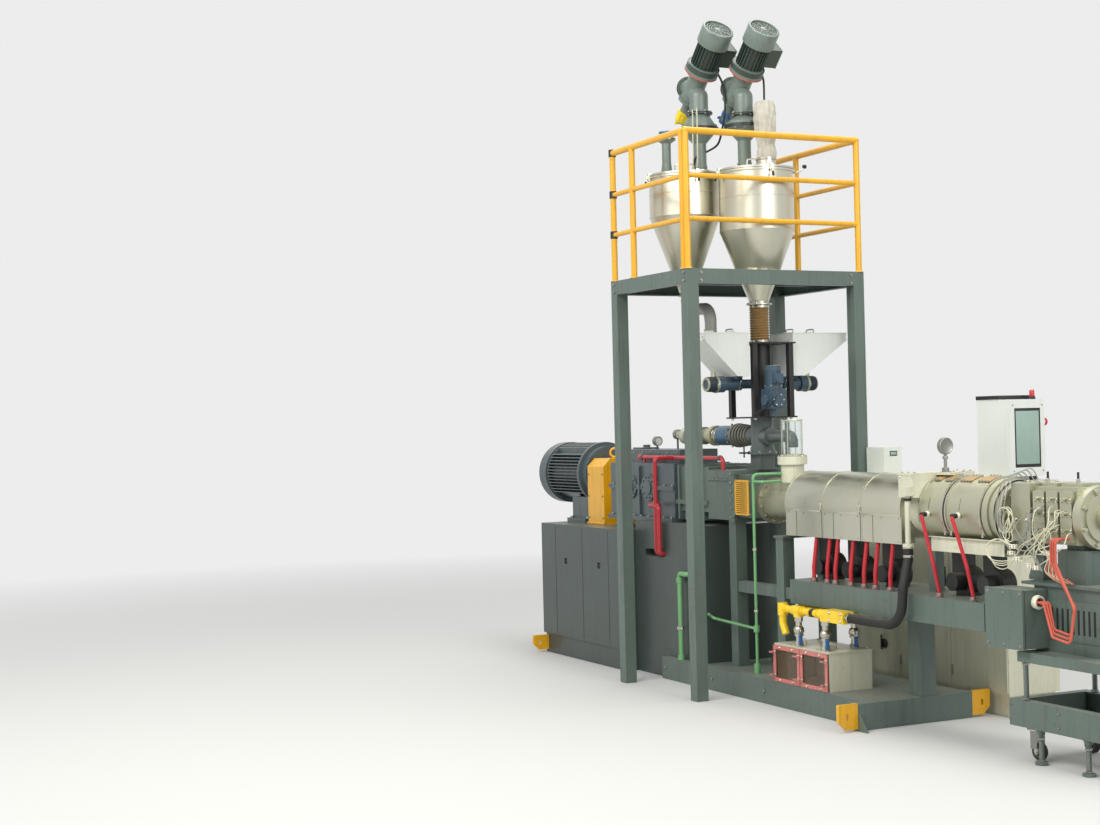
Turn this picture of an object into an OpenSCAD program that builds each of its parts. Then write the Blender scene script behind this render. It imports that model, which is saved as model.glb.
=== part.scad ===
// Twin-screw plastic extruder with a feeding platform over its gearbox.
// X runs from the motor to the die, +Y is the side away from the aisle, Z is up.
// The origin is on the floor, under the barrel axis, between the platform's front posts.

/* [Barrel line] */
// Height of the barrel axis over the floor
axis_z = 1200; // [1150:10:1300]
// Radius of the barrel tube
barrel_r = 95; // [80:1:105]
// Place along X where the polished covers begin
cover_x = 345; // [330:5:400]
// Length of one polished cover
cover_len = 370; // [300:5:372]
// Gap between two covers
cover_gap = 6; // [4:1:12]
// Radius of the covers' rounded top
cover_r = 193; // [170:1:200]
// Height of the covers' straight skirts, from the axis down
cover_drop = 190; // [150:5:200]
// Sheet thickness of the covers
cover_t = 3; // [2:0.5:5]
// Length of the vent housing
vent_len = 140; // [120:5:160]
// Radius of the heaters
heater_r = 188; // [160:1:195]
// Length of the first heater
heater_a_len = 205; // [180:5:240]
// Length of the second heater
heater_b_len = 285; // [240:5:320]
// Length of the stepped end flange
end_flange_len = 126; // [90:2:150]
// Side of the square adapter plate
plate_side = 290; // [260:5:320]
// Thickness of the square adapter plate
plate_len = 138; // [100:2:160]
// Length of the die body
die_len = 300; // [240:5:340]
// Radius of the die ring
die_ring_r = 155; // [130:1:170]
// Thickness of the die ring
die_ring_len = 50; // [30:1:70]
// Radius of the die's outlet
outlet_r = 18; // [10:1:30]

/* [Feed throat] */
// Place of the feed throat along X
feed_x = 151; // [140:1:180]
// Radius of the feed collar's body
collar_r = 72; // [60:1:80]
// Radius of the feed collar's ring
collar_ring_r = 92; // [82:1:105]
// Outer radius of the sight glass
glass_r = 62; // [50:1:70]
// Height of the sight glass
glass_h = 225; // [180:5:260]

/* [Drive] */
// Place of the cabinet's motor end along X
cabinet_x = -2630; // [-2800:10:-2500]
// Width of the drive cabinet
cabinet_w = 820; // [700:10:900]
// Height of the drive cabinet
cabinet_h = 972; // [900:5:985]
// Place along X where the gearbox stand begins
stand_x = -1350; // [-1400:10:-1250]
// Width of the gearbox stand
stand_w = 600; // [520:10:660]
// Height of the gearbox stand
stand_h = 1033; // [1000:1:1034]
// Radius of the main motor's frame
motor_r = 235; // [200:5:240]
// Length of the main motor
motor_len = 760; // [700:10:800]
// Height of the main motor's axis
motor_z = 1338; // [1320:1:1360]
// Half width of the gearbox
gearbox_hw = 220; // [190:5:240]
// Length of the gearbox
gearbox_len = 910; // [850:10:920]
// Width of the coupling guard
guard_w = 400; // [340:10:440]

/* [Skid] */
// Front end of the skid along X
skid_front = 1360; // [1352:2:1500]
// Back end of the skid along X
skid_back = -940; // [-1000:10:-900]
// Width of the skid
skid_w = 690; // [650:10:760]
// Height of the skid
skid_h = 145; // [120:5:160]
// Width of the skid's side beams
skid_beam = 90; // [60:5:110]
// Height of the cable tray beam's underside
tray_z = 605; // [560:5:640]
// Depth of the cable tray beam
tray_h = 143; // [110:1:170]
// Half width of the cable tray beam
tray_hw = 220; // [200:5:240]

/* [Platform] */
// Height of the walking deck
deck_z = 2650; // [2630:5:2700]
// Length of the platform over its posts
platform_len = 990; // [980:10:1100]
// Width of the platform over its posts
platform_w = 1318; // [1300:10:1400]
// Side of a platform post
post = 80; // [60:5:100]
// Height of the platform's channel beams
beam_h = 85; // [70:5:100]
// Thickness of the deck plate
deck_t = 6; // [4:1:8]
// Height of the top rail over the deck
rail_top = 850; // [700:10:1000]
// Height of the middle rail over the deck
rail_mid = 574; // [500:5:640]
// Height of the low rail over the deck
rail_low = 308; // [250:5:380]
// Radius of the rail posts and the top rail
rail_r = 21; // [17:1:24]
// Radius of the lower rails
rail_bar_r = 16; // [12:1:18]

/* [Hoppers] */
// Radius of the large hopper
hopper_r = 240; // [200:2:242]
// Height of the large hopper's rim
hopper_top = 3310; // [3250:10:3400]
// Height of the large hopper's cylinder bottom
hopper_knee = 2926; // [2900:2:3000]
// Height of the large hopper's outlet flange
hopper_out = 2475; // [2470:1:2500]
// Radius of the small hopper
small_r = 232; // [200:2:234]
// Height of the small hopper's rim
small_top = 3325; // [3300:5:3400]
// Height of the small hopper's cylinder bottom
small_knee = 3057; // [3010:1:3110]
// Height of the small hopper's outlet
small_out = 2560; // [2530:5:2570]
// Sheet thickness of the hoppers
sheet = 4; // [3:1:6]
// Radius of the bellows
bellows_r = 60; // [52:1:66]
// Height of the dosing hoppers' rims
dose_top = 2262; // [2230:2:2290]
// Distance from the column to the far dosing hopper's outer end
dose_reach = 585; // [540:5:600]
// Distance from the column to the aisle-side dosing hopper's outer end
dose_short = 490; // [440:5:600]

/* [Die trolley] */
// Back end of the trolley along X
trolley_x = 2375; // [2360:5:2400]
// Length of the trolley
trolley_len = 700; // [640:10:800]
// Width of the trolley
trolley_w = 500; // [480:10:600]
// Radius of a caster wheel
wheel_r = 45; // [40:1:48]
// Width of a caster wheel
wheel_w = 30; // [24:1:34]

/* [Hidden] */

$fn = 48;
// clearance of a curved seat
seat = 0.3;

// colours of the machine
structure_paint = [0.35, 0.40, 0.38];
cabinet_paint = [0.24, 0.28, 0.27];
gear_paint = [0.27, 0.33, 0.34];
safety_yellow = [0.90, 0.66, 0.06];
polished_steel = [0.78, 0.77, 0.70];
cast_aluminium = [0.70, 0.70, 0.62];
pale_paint = [0.80, 0.80, 0.70];
sleeve_red = [0.75, 0.15, 0.17];
black_rubber = [0.10, 0.10, 0.10];
white_paint = [0.88, 0.90, 0.88];
loader_paint = [0.43, 0.49, 0.46];
motor_blue = [0.18, 0.29, 0.37];

// places along the barrel, from the lantern to the die
neck_r = barrel_r + 25;
flange_x = -60;
flange_len = 40;
flange_r = 145;
covers_end = cover_x + 3 * cover_len + 2 * cover_gap;
vent_x = covers_end + 6;
heater_a_x = vent_x + vent_len;
heater_b_x = heater_a_x + heater_a_len + 12;
end_flange_x = heater_b_x + heater_b_len + 4;
plate_x = end_flange_x + end_flange_len + 60;
die_x = plate_x + plate_len;
ring_x = die_x + die_len;
die_front = ring_x + die_ring_len + 70;
// heights in the feed throat
collar_bottom = axis_z + 120;
collar_ring_z = axis_z + 230;
collar_top = axis_z + 280;
glass_t = 5;
// the feeder column stands a little behind the barrel axis
column_x = -262;
column_y = 51;
// the gearbox stand starts on the floor and ends on the skid
stand_end = -450;
plinth_inset = 15;
gearbox_x = stand_x - 495;
gearbox_top = stand_h + 397;
rib_x = gearbox_x + gearbox_len;
dist_x = rib_x + 400;
dist_end = dist_x + 255;
dist_top = axis_z + 192;
dist_bottom = axis_z - 125;
gear_flange_len = 64;
lantern_x = dist_end + gear_flange_len;
// platform frame
platform_x0 = 40 - platform_len;
post_y = platform_w / 2 - post / 2;
small_x = -690;
small_y = -232;
rail_x = 40 - rail_r;
rail_y = platform_w / 2 - rail_r;
// tray and posts
tray_x0 = 420;
tray_x1 = 2168;
tray_top = tray_z + tray_h;

// one straight round bar between two points
module rod(from, to, r) {
  run = to - from;
  span = norm(run);
  translate(from)
    rotate([0, acos(run.z / span), atan2(run.y, run.x)])
      rotate(17)
        cylinder(h = span, r = r);
}

function unit(v) = v / norm(v);
function turn_at(p, i) = acos(unit(p[i] - p[i - 1]) * unit(p[i + 1] - p[i]));
function trim_at(p, i, bend_r) =
  (i == 0 || i == len(p) - 1) ? 0 : bend_r * tan(turn_at(p, i) / 2);

// one round bend at a corner of a pipe
module elbow(corner, d1, d2, bend_r, r) {
  turn = acos(d1 * d2);
  inward = unit(d2 - (d1 * d2) * d1);
  centre = corner - d1 * bend_r * tan(turn / 2) + inward * bend_r;
  side = cross(-inward, d1);
  multmatrix([
    [-inward.x, d1.x, side.x, centre.x],
    [-inward.y, d1.y, side.y, centre.y],
    [-inward.z, d1.z, side.z, centre.z],
    [0, 0, 0, 1]
  ])
    rotate_extrude(angle = turn)
      translate([bend_r, 0])
        circle(r = r);
}

// a pipe of radius r along the points p, with round bends of radius bend_r
// each bend is a hair thicker than the pipe, whose straight ends reach into it
module pipe_run(p, r, bend_r) {
  lap = 2;
  swell = 0.6;
  last = len(p) - 2;
  for (i = [0 : 1 : last]) {
    along = unit(p[i + 1] - p[i]);
    rod(p[i] + along * (trim_at(p, i, bend_r) - (i > 0 ? lap : 0)),
        p[i + 1] - along * (trim_at(p, i + 1, bend_r) - (i < last ? lap : 0)), r);
  }
  for (i = [1 : 1 : last])
    elbow(p[i], unit(p[i] - p[i - 1]), unit(p[i + 1] - p[i]), bend_r, r + swell);
}

// a disc or tube that lies along X, on the barrel axis unless told otherwise
module along_x(x, length, r, y = 0, z = axis_z) {
  translate([x, y, z])
    rotate([0, 90, 0])
      cylinder(h = length, r = r);
}

// bolt heads on a circle, on a face that looks along +X
module bolt_ring(x, circle_r, count, head_r, head_h, y = 0, z = axis_z) {
  for (i = [0 : count - 1])
    translate([x, y, z])
      rotate([(i + 0.5) * 360 / count, 0, 0])
        translate([0, circle_r, 0])
          rotate([0, 90, 0])
            cylinder(h = head_h, r = head_r, $fn = 6);
}

// a box from its lowest corner and its highest corner
module block(low, high) {
  translate(low)
    cube(high - low);
}

module skid_frame() {
  half = skid_w / 2;
  plate_t = 8;
  near_beam = 430;
  far_beam = 360;
  color(structure_paint) {
    for (side = [-1, 1])
      block([skid_back, side * (half - skid_beam / 2) - skid_beam / 2, 0],
            [skid_front, side * (half - skid_beam / 2) + skid_beam / 2, skid_h]);
    for (x = [skid_back, -skid_beam / 2, 420, 840])
      block([x, -half + skid_beam, 0], [x + skid_beam, half - skid_beam, skid_h - plate_t]);
    block([skid_front - skid_beam, -near_beam, 0], [skid_front, far_beam, skid_h]);
    block([skid_back, -half + skid_beam, skid_h - plate_t],
          [skid_front - skid_beam, half - skid_beam, skid_h]);
  }
}

// an ear plate with an oval hole, that stands out along Y
module lug_ear(length, height, thick) {
  hole_r = 14;
  corner = 46;
  rotate([90, 0, 90])
    linear_extrude(height = thick)
      difference() {
        polygon([[0, 0], [length - corner, 0], [length, corner], [length, height - 6],
                 [length - 6, height], [0, height]]);
        translate([length * 0.55, height * 0.5])
          square([hole_r, hole_r * 1.6], center = true);
        for (side = [-1, 1])
          translate([length * 0.55, height * 0.5 + side * hole_r * 0.8])
            circle(r = hole_r / 2);
      }
}

module lifting_lugs() {
  thick = 22;
  ear = 127;
  ear_h = 140;
  cabinet_ear_h = 110;
  plinth_y = cabinet_w / 2 - plinth_inset;
  color(safety_yellow) {
    translate([skid_front - thick, 360, 10])
      lug_ear(ear, ear_h, thick);
    translate([skid_front - thick, -430, 10])
      mirror([0, 1, 0])
        lug_ear(ear, ear_h, thick);
    translate([cabinet_x + 30, plinth_y, 20])
      lug_ear(ear, cabinet_ear_h, thick);
    translate([cabinet_x + 30, -plinth_y, 20])
      mirror([0, 1, 0])
        lug_ear(ear, cabinet_ear_h, thick);
  }
}

// posts, tray beam and saddles that carry the barrel over the skid
module support_frame() {
  near_post = 80;
  mid_post = 105;
  top_post = 60;
  back_x = -265;
  saddle_x = 270;
  mid_x = 1300;
  mid_y = 60;
  rail_z0 = 621;
  rail_z1 = 690;
  color(structure_paint) {
    block([tray_x0, -tray_hw, tray_z], [tray_x1, tray_hw, tray_top]);
    for (side = [-1, 1]) {
      block([back_x - near_post / 2, side * 150 - near_post / 2, skid_h],
            [back_x + near_post / 2, side * 150 + near_post / 2, dist_bottom - 15]);
      block([saddle_x - near_post / 2, side * 150 - near_post / 2, skid_h],
            [saddle_x + near_post / 2, side * 150 + near_post / 2, 986]);
      block([back_x, side * 150 - 30, rail_z0], [tray_x0, side * 150 + 30, rail_z1]);
    }
    block([saddle_x - 50, -200, 986], [saddle_x + 50, 200, 1000]);
    difference() {
      block([saddle_x - 30, -70, 1000], [saddle_x + 30, 70, axis_z - neck_r + 20]);
      along_x(saddle_x - 60, 120, neck_r + seat);
    }
    block([mid_x - mid_post / 2, mid_y - mid_post / 2, skid_h],
          [mid_x + mid_post / 2, mid_y + mid_post / 2, tray_z]);
    difference() {
      block([vent_x + 20, -top_post / 2, tray_top],
            [vent_x + 20 + top_post, top_post / 2, axis_z - 120]);
      along_x(vent_x - 10, 200, 140 + seat);
    }
  }
}

module drive_cabinet() {
  plinth_h = 145;
  half = cabinet_w / 2;
  stand_half = stand_w / 2;
  recess = 44;
  oval_x = -1078;
  oval_z = 826;
  oval_len = 275;
  oval_h = 50;
  oval_deep = 60;
  color(cabinet_paint)
    difference() {
      union() {
        block([cabinet_x, -half, plinth_h], [stand_x, half, cabinet_h]);
        block([cabinet_x + plinth_inset, -half + plinth_inset, 0],
              [stand_x, half - plinth_inset, plinth_h]);
        block([stand_x, -stand_half, 0], [skid_back, stand_half, stand_h]);
        block([skid_back, -stand_half, skid_h], [stand_end, stand_half, stand_h]);
      }
      for (place = [[-2227, 705], [-1702, 705]])
        block([place.x - recess / 2, -half - 1, place.y - recess / 2],
              [place.x + recess / 2, -half + 12, place.y + recess / 2]);
      translate([oval_x - oval_len / 2 + oval_h / 2, -stand_half + oval_deep, oval_z])
        rotate([90, 0, 0])
          linear_extrude(height = oval_deep + 1) {
            circle(r = oval_h / 2);
            translate([oval_len - oval_h, 0])
              circle(r = oval_h / 2);
            translate([0, -oval_h / 2])
              square([oval_len - oval_h, oval_h]);
          }
    }
}

// finned motor: level fins on both flanks, upright fins over the back
module main_motor() {
  end_x = cabinet_x - 400;
  bell = 95;
  cover_l = 150;
  core_r = motor_r - 40;
  fin_t = 7;
  fin_pitch = 24;
  feet_x = cabinet_x + 10;
  feet_len = 300;
  feet_w = 390;
  body_x = end_x + cover_l;
  body_len = motor_len - cover_l - bell;
  color(gear_paint) {
    along_x(end_x, 16, motor_r - 20, 0, motor_z);
    along_x(end_x + 16, cover_l - 36, motor_r, 0, motor_z);
    along_x(end_x + cover_l - 20, 20, motor_r - 12, 0, motor_z);
    along_x(body_x, body_len, core_r, 0, motor_z);
    intersection() {
      along_x(body_x, body_len, motor_r - 4, 0, motor_z);
      union() {
        for (i = [-6 : 6])
          block([body_x, -motor_r, motor_z + i * fin_pitch - fin_t / 2],
                [body_x + body_len, motor_r, motor_z + i * fin_pitch + fin_t / 2]);
        for (i = [-5 : 5])
          block([body_x, i * fin_pitch - fin_t / 2, motor_z + core_r / 2],
                [body_x + body_len, i * fin_pitch + fin_t / 2, motor_z + motor_r]);
      }
    }
    along_x(body_x + body_len, 30, motor_r, 0, motor_z);
    along_x(body_x + body_len + 30, bell - 30, motor_r - 30, 0, motor_z);
    along_x(body_x + body_len + bell, 60, 40, 0, motor_z);
    block([feet_x, -feet_w / 2, cabinet_h], [feet_x + feet_len, feet_w / 2, cabinet_h + 30]);
    difference() {
      block([feet_x + 20, -feet_w / 2 + 40, cabinet_h + 30],
            [feet_x + feet_len - 20, feet_w / 2 - 40, motor_z - core_r + 20]);
      along_x(feet_x, feet_len, core_r - 1, 0, motor_z);
    }
    block([body_x + 60, 0, motor_z + 40], [body_x + 240, motor_r + 50, motor_z + 170]);
  }
}

// yellow coupling hood, shaft hood, lifting eye and the louvred lantern plate
module guards() {
  hood_x = -2253;
  hood_len = 253;
  hood_top = cabinet_h + 483;
  chamfer = 60;
  hood_t = 4;
  half = guard_w / 2;
  shaft_r = 108;
  shaft_z = 1200;
  eye_r = 32;
  eye_bar = 8;
  plate_x0 = lantern_x + 20;
  plate_w = 157;
  plate_z0 = 1113;
  plate_h = 222;
  slots = 16;
  slot_h = 5;
  color(safety_yellow) {
    difference() {
      translate([hood_x, 0, 0])
        rotate([90, 0, 90])
          linear_extrude(height = hood_len)
            polygon([[-half, cabinet_h], [half, cabinet_h], [half, hood_top - chamfer],
                     [half - chamfer, hood_top], [-half + chamfer, hood_top],
                     [-half, hood_top - chamfer]]);
      translate([hood_x - 1, 0, 0])
        rotate([90, 0, 90])
          linear_extrude(height = hood_len - hood_t + 1)
            polygon([[-half + hood_t, cabinet_h - 1], [half - hood_t, cabinet_h - 1],
                     [half - hood_t, hood_top - chamfer - hood_t],
                     [half - chamfer - hood_t, hood_top - hood_t],
                     [-half + chamfer + hood_t, hood_top - hood_t],
                     [-half + hood_t, hood_top - chamfer - hood_t]]);
    }
    difference() {
      along_x(hood_x + hood_len, gearbox_x - 10 - hood_x - hood_len, shaft_r, 0, shaft_z);
      along_x(hood_x + hood_len - 1, gearbox_x - hood_x - hood_len + 2, shaft_r - hood_t,
              0, shaft_z);
    }
    translate([hood_x + 60, 0, hood_top + eye_r + eye_bar - 2])
      rotate([90, 0, 60])
        rotate_extrude()
          translate([eye_r, 0])
            circle(r = eye_bar);
    difference() {
      block([plate_x0, -210, plate_z0], [plate_x0 + plate_w, -204, plate_z0 + plate_h]);
      for (i = [0 : slots - 1])
        block([plate_x0 + 14, -212, plate_z0 + 12 + i * 12.6],
              [plate_x0 + plate_w - 14, -202, plate_z0 + 12 + i * 12.6 + slot_h]);
    }
  }
}

// round bolted cover on a face that looks along -Y
module face_cover(x, y, z, r, bolts) {
  translate([x, y, z])
    rotate([90, 0, 0]) {
      cylinder(h = 14, r = r);
      cylinder(h = 22, r = r * 0.55);
      for (i = [0 : bolts - 1])
        rotate(i * 360 / bolts)
          translate([r * 0.8, 0, 13])
            cylinder(h = 8, r = 7, $fn = 6);
    }
}

module gearbox() {
  base_t = 28;
  lip = 26;
  cover_top = gearbox_top + 92;
  cover_half = 150;
  input_r = 112;
  gauge_r = 32;
  split_z = stand_h + 215;
  color(gear_paint) {
    block([gearbox_x, -gearbox_hw, stand_h], [rib_x, gearbox_hw, gearbox_top]);
    block([gearbox_x - 10, -gearbox_hw - lip, stand_h],
          [rib_x, gearbox_hw + lip, stand_h + base_t]);
    block([gearbox_x - 10, -gearbox_hw - 14, split_z],
          [rib_x, gearbox_hw + 14, split_z + 30]);
    block([gearbox_x + 60, -cover_half, gearbox_top], [rib_x - 40, cover_half, cover_top]);
    for (x = [gearbox_x + 200, gearbox_x + 430, gearbox_x + 660])
      for (side = [-1, 1])
        block([x, side * (gearbox_hw + 10) - 10, stand_h],
              [x + 22, side * (gearbox_hw + 10) + 10, gearbox_top - 20]);
    face_cover(gearbox_x + 565, -gearbox_hw, split_z + 14, 92, 10);
    face_cover(gearbox_x + 315, -gearbox_hw, split_z + 14, 80, 8);
    mirror([0, 1, 0]) {
      face_cover(gearbox_x + 565, -gearbox_hw, split_z + 14, 92, 10);
      face_cover(gearbox_x + 315, -gearbox_hw, split_z + 14, 80, 8);
    }
    for (place = [[gearbox_x + 300, 50], [gearbox_x + 590, 96]]) {
      translate([place.x, 0, cover_top])
        cylinder(h = place.y - 20, r = 7);
      translate([place.x - 12, 0, cover_top + place.y + gauge_r - 26])
        rotate([0, 90, 0])
          cylinder(h = 28, r = gauge_r);
    }
  }
}

// ribbed distribution housing, its bolted flange and the lantern
module distribution_box() {
  half = 200;
  rib_half = 212;
  lantern_half = 170;
  lantern_len = flange_x - lantern_x;
  wall = 30;
  ribs = 4;
  rib_pitch = 90;
  color(structure_paint) {
    block([rib_x, -half + 8, dist_bottom + 40], [dist_x, half - 8, dist_top + 20]);
    for (i = [0 : ribs - 1])
      block([rib_x + 30 + i * rib_pitch, -rib_half, stand_h + 25],
            [rib_x + 48 + i * rib_pitch, rib_half, dist_top + 32]);
    block([rib_x, -rib_half, dist_bottom + 85], [dist_x, rib_half, dist_bottom + 115]);
    block([dist_x, -half, dist_bottom], [dist_end, half, dist_top]);
    block([dist_x, -half - 8, dist_top - 66], [dist_end, half + 8, dist_top - 54]);
    block([dist_end, -204, dist_bottom - 15], [lantern_x, 204, dist_top]);
    for (side = [-1, 1])
      for (i = [0 : 5])
        translate([lantern_x, side * 188, dist_bottom + 10 + i * 58])
          rotate([0, 90, 0])
            cylinder(h = 10, r = 9, $fn = 6);
    difference() {
      block([lantern_x, -lantern_half, dist_bottom + 20],
            [lantern_x + lantern_len, lantern_half, dist_top - 25]);
      block([lantern_x + wall, -lantern_half - 1, dist_bottom + 50],
            [lantern_x + lantern_len - wall, lantern_half + 1, dist_top - 60]);
    }
    for (x = [lantern_x, lantern_x + lantern_len - 12])
      block([x, -204, dist_bottom + 30], [x + 12, -lantern_half, dist_top - 60]);
  }
}

module oil_pipes() {
  r = 13;
  bend_r = 30;
  run_y = -185;
  run_z = gearbox_top + 40;
  drop_y = -stand_w / 2 - 32;
  pocket_y = -stand_w / 2 + 30;
  pocket_z = 826;
  color(sleeve_red) {
    pipe_run([[-1430, run_y, run_z], [-365, run_y, run_z], [-365, run_y, dist_top]], r, bend_r);
    for (x = [-1400, -1250])
      rod([x, run_y, gearbox_top], [x, run_y, run_z], 9);
    pipe_run([[-1000, run_y, run_z], [-1000, drop_y, run_z], [-1000, drop_y, pocket_z],
              [-1000, pocket_y, pocket_z]], r + 2, bend_r);
    pipe_run([[-1100, -gearbox_hw - 22, 1150], [-1100, drop_y, 1150], [-960, drop_y, 1150],
              [-960, drop_y, pocket_z], [-960, pocket_y, pocket_z]], r + 2, bend_r);
    rod([-1440, run_y, run_z], [-1470, run_y, run_z], 20);
    rod([-1430, run_y, run_z], [-1440, run_y, run_z], 16);
  }
}

// barrel with its mounting flange, feed section and joint rings
module barrel() {
  joint_r = barrel_r + 16;
  joint_t = 30;
  color(cast_aluminium) {
    along_x(flange_x, flange_len, flange_r);
    bolt_ring(flange_x + flange_len, flange_r - 16, 12, 9, 9);
    along_x(flange_x + flange_len, cover_x - flange_x - flange_len - 20, neck_r);
    along_x(cover_x - 20, end_flange_x - cover_x + 20, barrel_r);
    for (i = [0 : 2])
      along_x(cover_x + 150 + i * (cover_len + cover_gap), joint_t, joint_r);
    block([feed_x - 100, -100, axis_z + 40], [feed_x + 100, 100, collar_bottom]);
  }
}

// outline of a cover: a rounded top over two straight skirts, y across and z up
module cover_outline(top_r, skirt_half, ledge, drop) {
  intersection() {
    circle(r = top_r, $fn = 96);
    translate([-top_r, -ledge])
      square([2 * top_r, top_r + ledge]);
  }
  translate([-skirt_half, -drop])
    square([2 * skirt_half, drop]);
}

module barrel_covers() {
  ledge = 33;
  skirt_in = 8;
  band = 10;
  color(polished_steel)
    for (i = [0 : 2])
      translate([cover_x + i * (cover_len + cover_gap), 0, axis_z])
        rotate([90, 0, 90])
          difference() {
            union() {
              linear_extrude(height = cover_len)
                cover_outline(cover_r, cover_r - skirt_in, ledge, cover_drop);
              for (z = [0, cover_len - band])
                translate([0, 0, z])
                  linear_extrude(height = band)
                    cover_outline(cover_r + 2, cover_r - skirt_in + 2, ledge, cover_drop);
            }
            translate([0, 0, cover_t])
              linear_extrude(height = cover_len - 2 * cover_t)
                cover_outline(cover_r - cover_t, cover_r - skirt_in - cover_t, ledge - cover_t,
                              cover_drop + 1);
            translate([0, 0, -1])
              cylinder(h = cover_len + 2, r = barrel_r + seat);
            translate([-barrel_r - seat, -cover_drop - 1, -1])
              cube([2 * (barrel_r + seat), cover_drop + 1, cover_len + 2]);
          }
}

module feed_collar() {
  bore_r = glass_r - 12;
  color(pale_paint)
    difference() {
      translate([feed_x, 0, 0]) {
        translate([0, 0, collar_bottom])
          cylinder(h = collar_ring_z - collar_bottom, r = collar_r);
        translate([0, 0, collar_ring_z])
          cylinder(h = collar_top - collar_ring_z, r = collar_ring_r);
      }
      translate([feed_x, 0, collar_bottom + 20])
        cylinder(h = collar_top - collar_bottom, r = bore_r);
    }
}

// clear tube over the feed throat, with the hole that the feeder's spout comes through
module sight_glass() {
  spout_r = 40;
  spout_z = collar_top + 125;
  color([0.75, 0.85, 0.85, 0.5])
    difference() {
      translate([feed_x, 0, collar_top])
        cylinder(h = glass_h, r = glass_r);
      translate([feed_x, 0, collar_top - 1])
        cylinder(h = glass_h + 2, r = glass_r - glass_t);
      rod([column_x, column_y, spout_z], [feed_x, 0, spout_z], spout_r);
    }
}

// degassing housing, with its plate on top and the polished drop pipe
module vent_box() {
  half = 205;
  low_z = axis_z + 70;
  top_z = axis_z + 200;
  plate_over = 120;
  pipe_y = -222;
  pipe_x = vent_x + 95;
  pipe_bottom = axis_z - 190;
  color(pale_paint) {
    difference() {
      union() {
        block([vent_x, -half, low_z], [vent_x + vent_len, half, top_z]);
        block([vent_x - 2, -half - 4, top_z - 10], [vent_x + vent_len, half + 4, top_z + 4]);
        block([vent_x + vent_len, -60, heater_r + axis_z + 2],
              [vent_x + vent_len + plate_over, 60, top_z + 4]);
        along_x(vent_x, vent_len, 140);
      }
      along_x(vent_x - 1, vent_len + 2, barrel_r + seat);
    }
    block([pipe_x - 30, pipe_y - 28, low_z + 10], [pipe_x + 30, -half, low_z + 60]);
    rod([pipe_x, pipe_y, pipe_bottom], [pipe_x, pipe_y, low_z + 10], 15);
    rod([pipe_x, pipe_y, pipe_bottom - 14], [pipe_x, pipe_y, pipe_bottom + 12], 30);
  }
}

// black suction hose from the degassing housing to the separator
module vent_hose() {
  pipe_x = vent_x + 95;
  hose_top = axis_z - 204;
  front_y = riser_places[0].y;
  color(black_rubber)
    pipe_run([[pipe_x, -222, hose_top], [pipe_x, -222, hose_top - 50],
              [pipe_x + 10, -272, hose_top - 210], [pipe_x, front_y, manifold_z],
              [hose_end_x + seat, front_y, manifold_z]], 26, 120);
}

// cast band heaters, with end bands, slots over the terminal and the terminals
module band_heaters() {
  band = 14;
  slot_r = heater_r - 3;
  color(cast_aluminium)
    for (place = [[heater_a_x, heater_a_len], [heater_b_x, heater_b_len]])
      difference() {
        union() {
          along_x(place.x + band, place.y - 2 * band, heater_r - 4);
          for (x = [place.x, place.x + place.y - band])
            along_x(x, band, heater_r);
          translate([place.x + place.y * 0.42, 0, axis_z])
            rotate([94, 0, 0])
              translate([0, 0, heater_r - 10])
                cylinder(h = 26, r = 13);
        }
        along_x(place.x - 1, place.y + 2, barrel_r + seat);
        for (i = [0 : 4])
          translate([place.x + place.y * 0.42, 0, axis_z])
            rotate([-(6 + i * 4), 0, 0])
              translate([-3, -heater_r - 2, -4])
                cube([6, 12, 8]);
      }
}

// folded sheet trough under the heaters
module heater_trough() {
  half = 158;
  x0 = heater_a_x + 70;
  x1 = end_flange_x + 140;
  z0 = axis_z - 212;
  z1 = axis_z - 132;
  t = 4;
  color(pale_paint) {
    difference() {
      block([x0, -half, z0], [x1, half, z1]);
      block([x0 - 1, -half + t, z0 + t], [x1 + 1, half - t, z1 + 1]);
    }
    for (side = [-1, 1])
      block([x0, side * (half + 9) - 9, z1 - t], [x1, side * (half + 9) + 9, z1]);
  }
}

// cooling blowers that stand on the tray and blow into the covers and the trough
module cooling_blowers() {
  volute_r = 78;
  volute_w = 90;
  duct = 84;
  color(black_rubber)
    for (place = [[560, 95], [850, 95], [1180, 95], [1790, 0], [2040, 0]]) {
      top = place.y > 0 ? axis_z - barrel_r - 18 : axis_z - 212;
      translate([place.x, volute_w / 2, tray_top + volute_r])
        rotate([90, 0, 0])
          cylinder(h = volute_w, r = volute_r);
      block([place.x - volute_r, -volute_w / 2, tray_top + volute_r],
            [place.x - volute_r + duct, volute_w / 2, top]);
      block([place.x - 50, -volute_w / 2, tray_top],
            [place.x + 50, volute_w / 2, tray_top + 30]);
      translate([place.x, -volute_w / 2, tray_top + volute_r])
        rotate([90, 0, 0])
          cylinder(h = 70, r = 48);
    }
}

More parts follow.
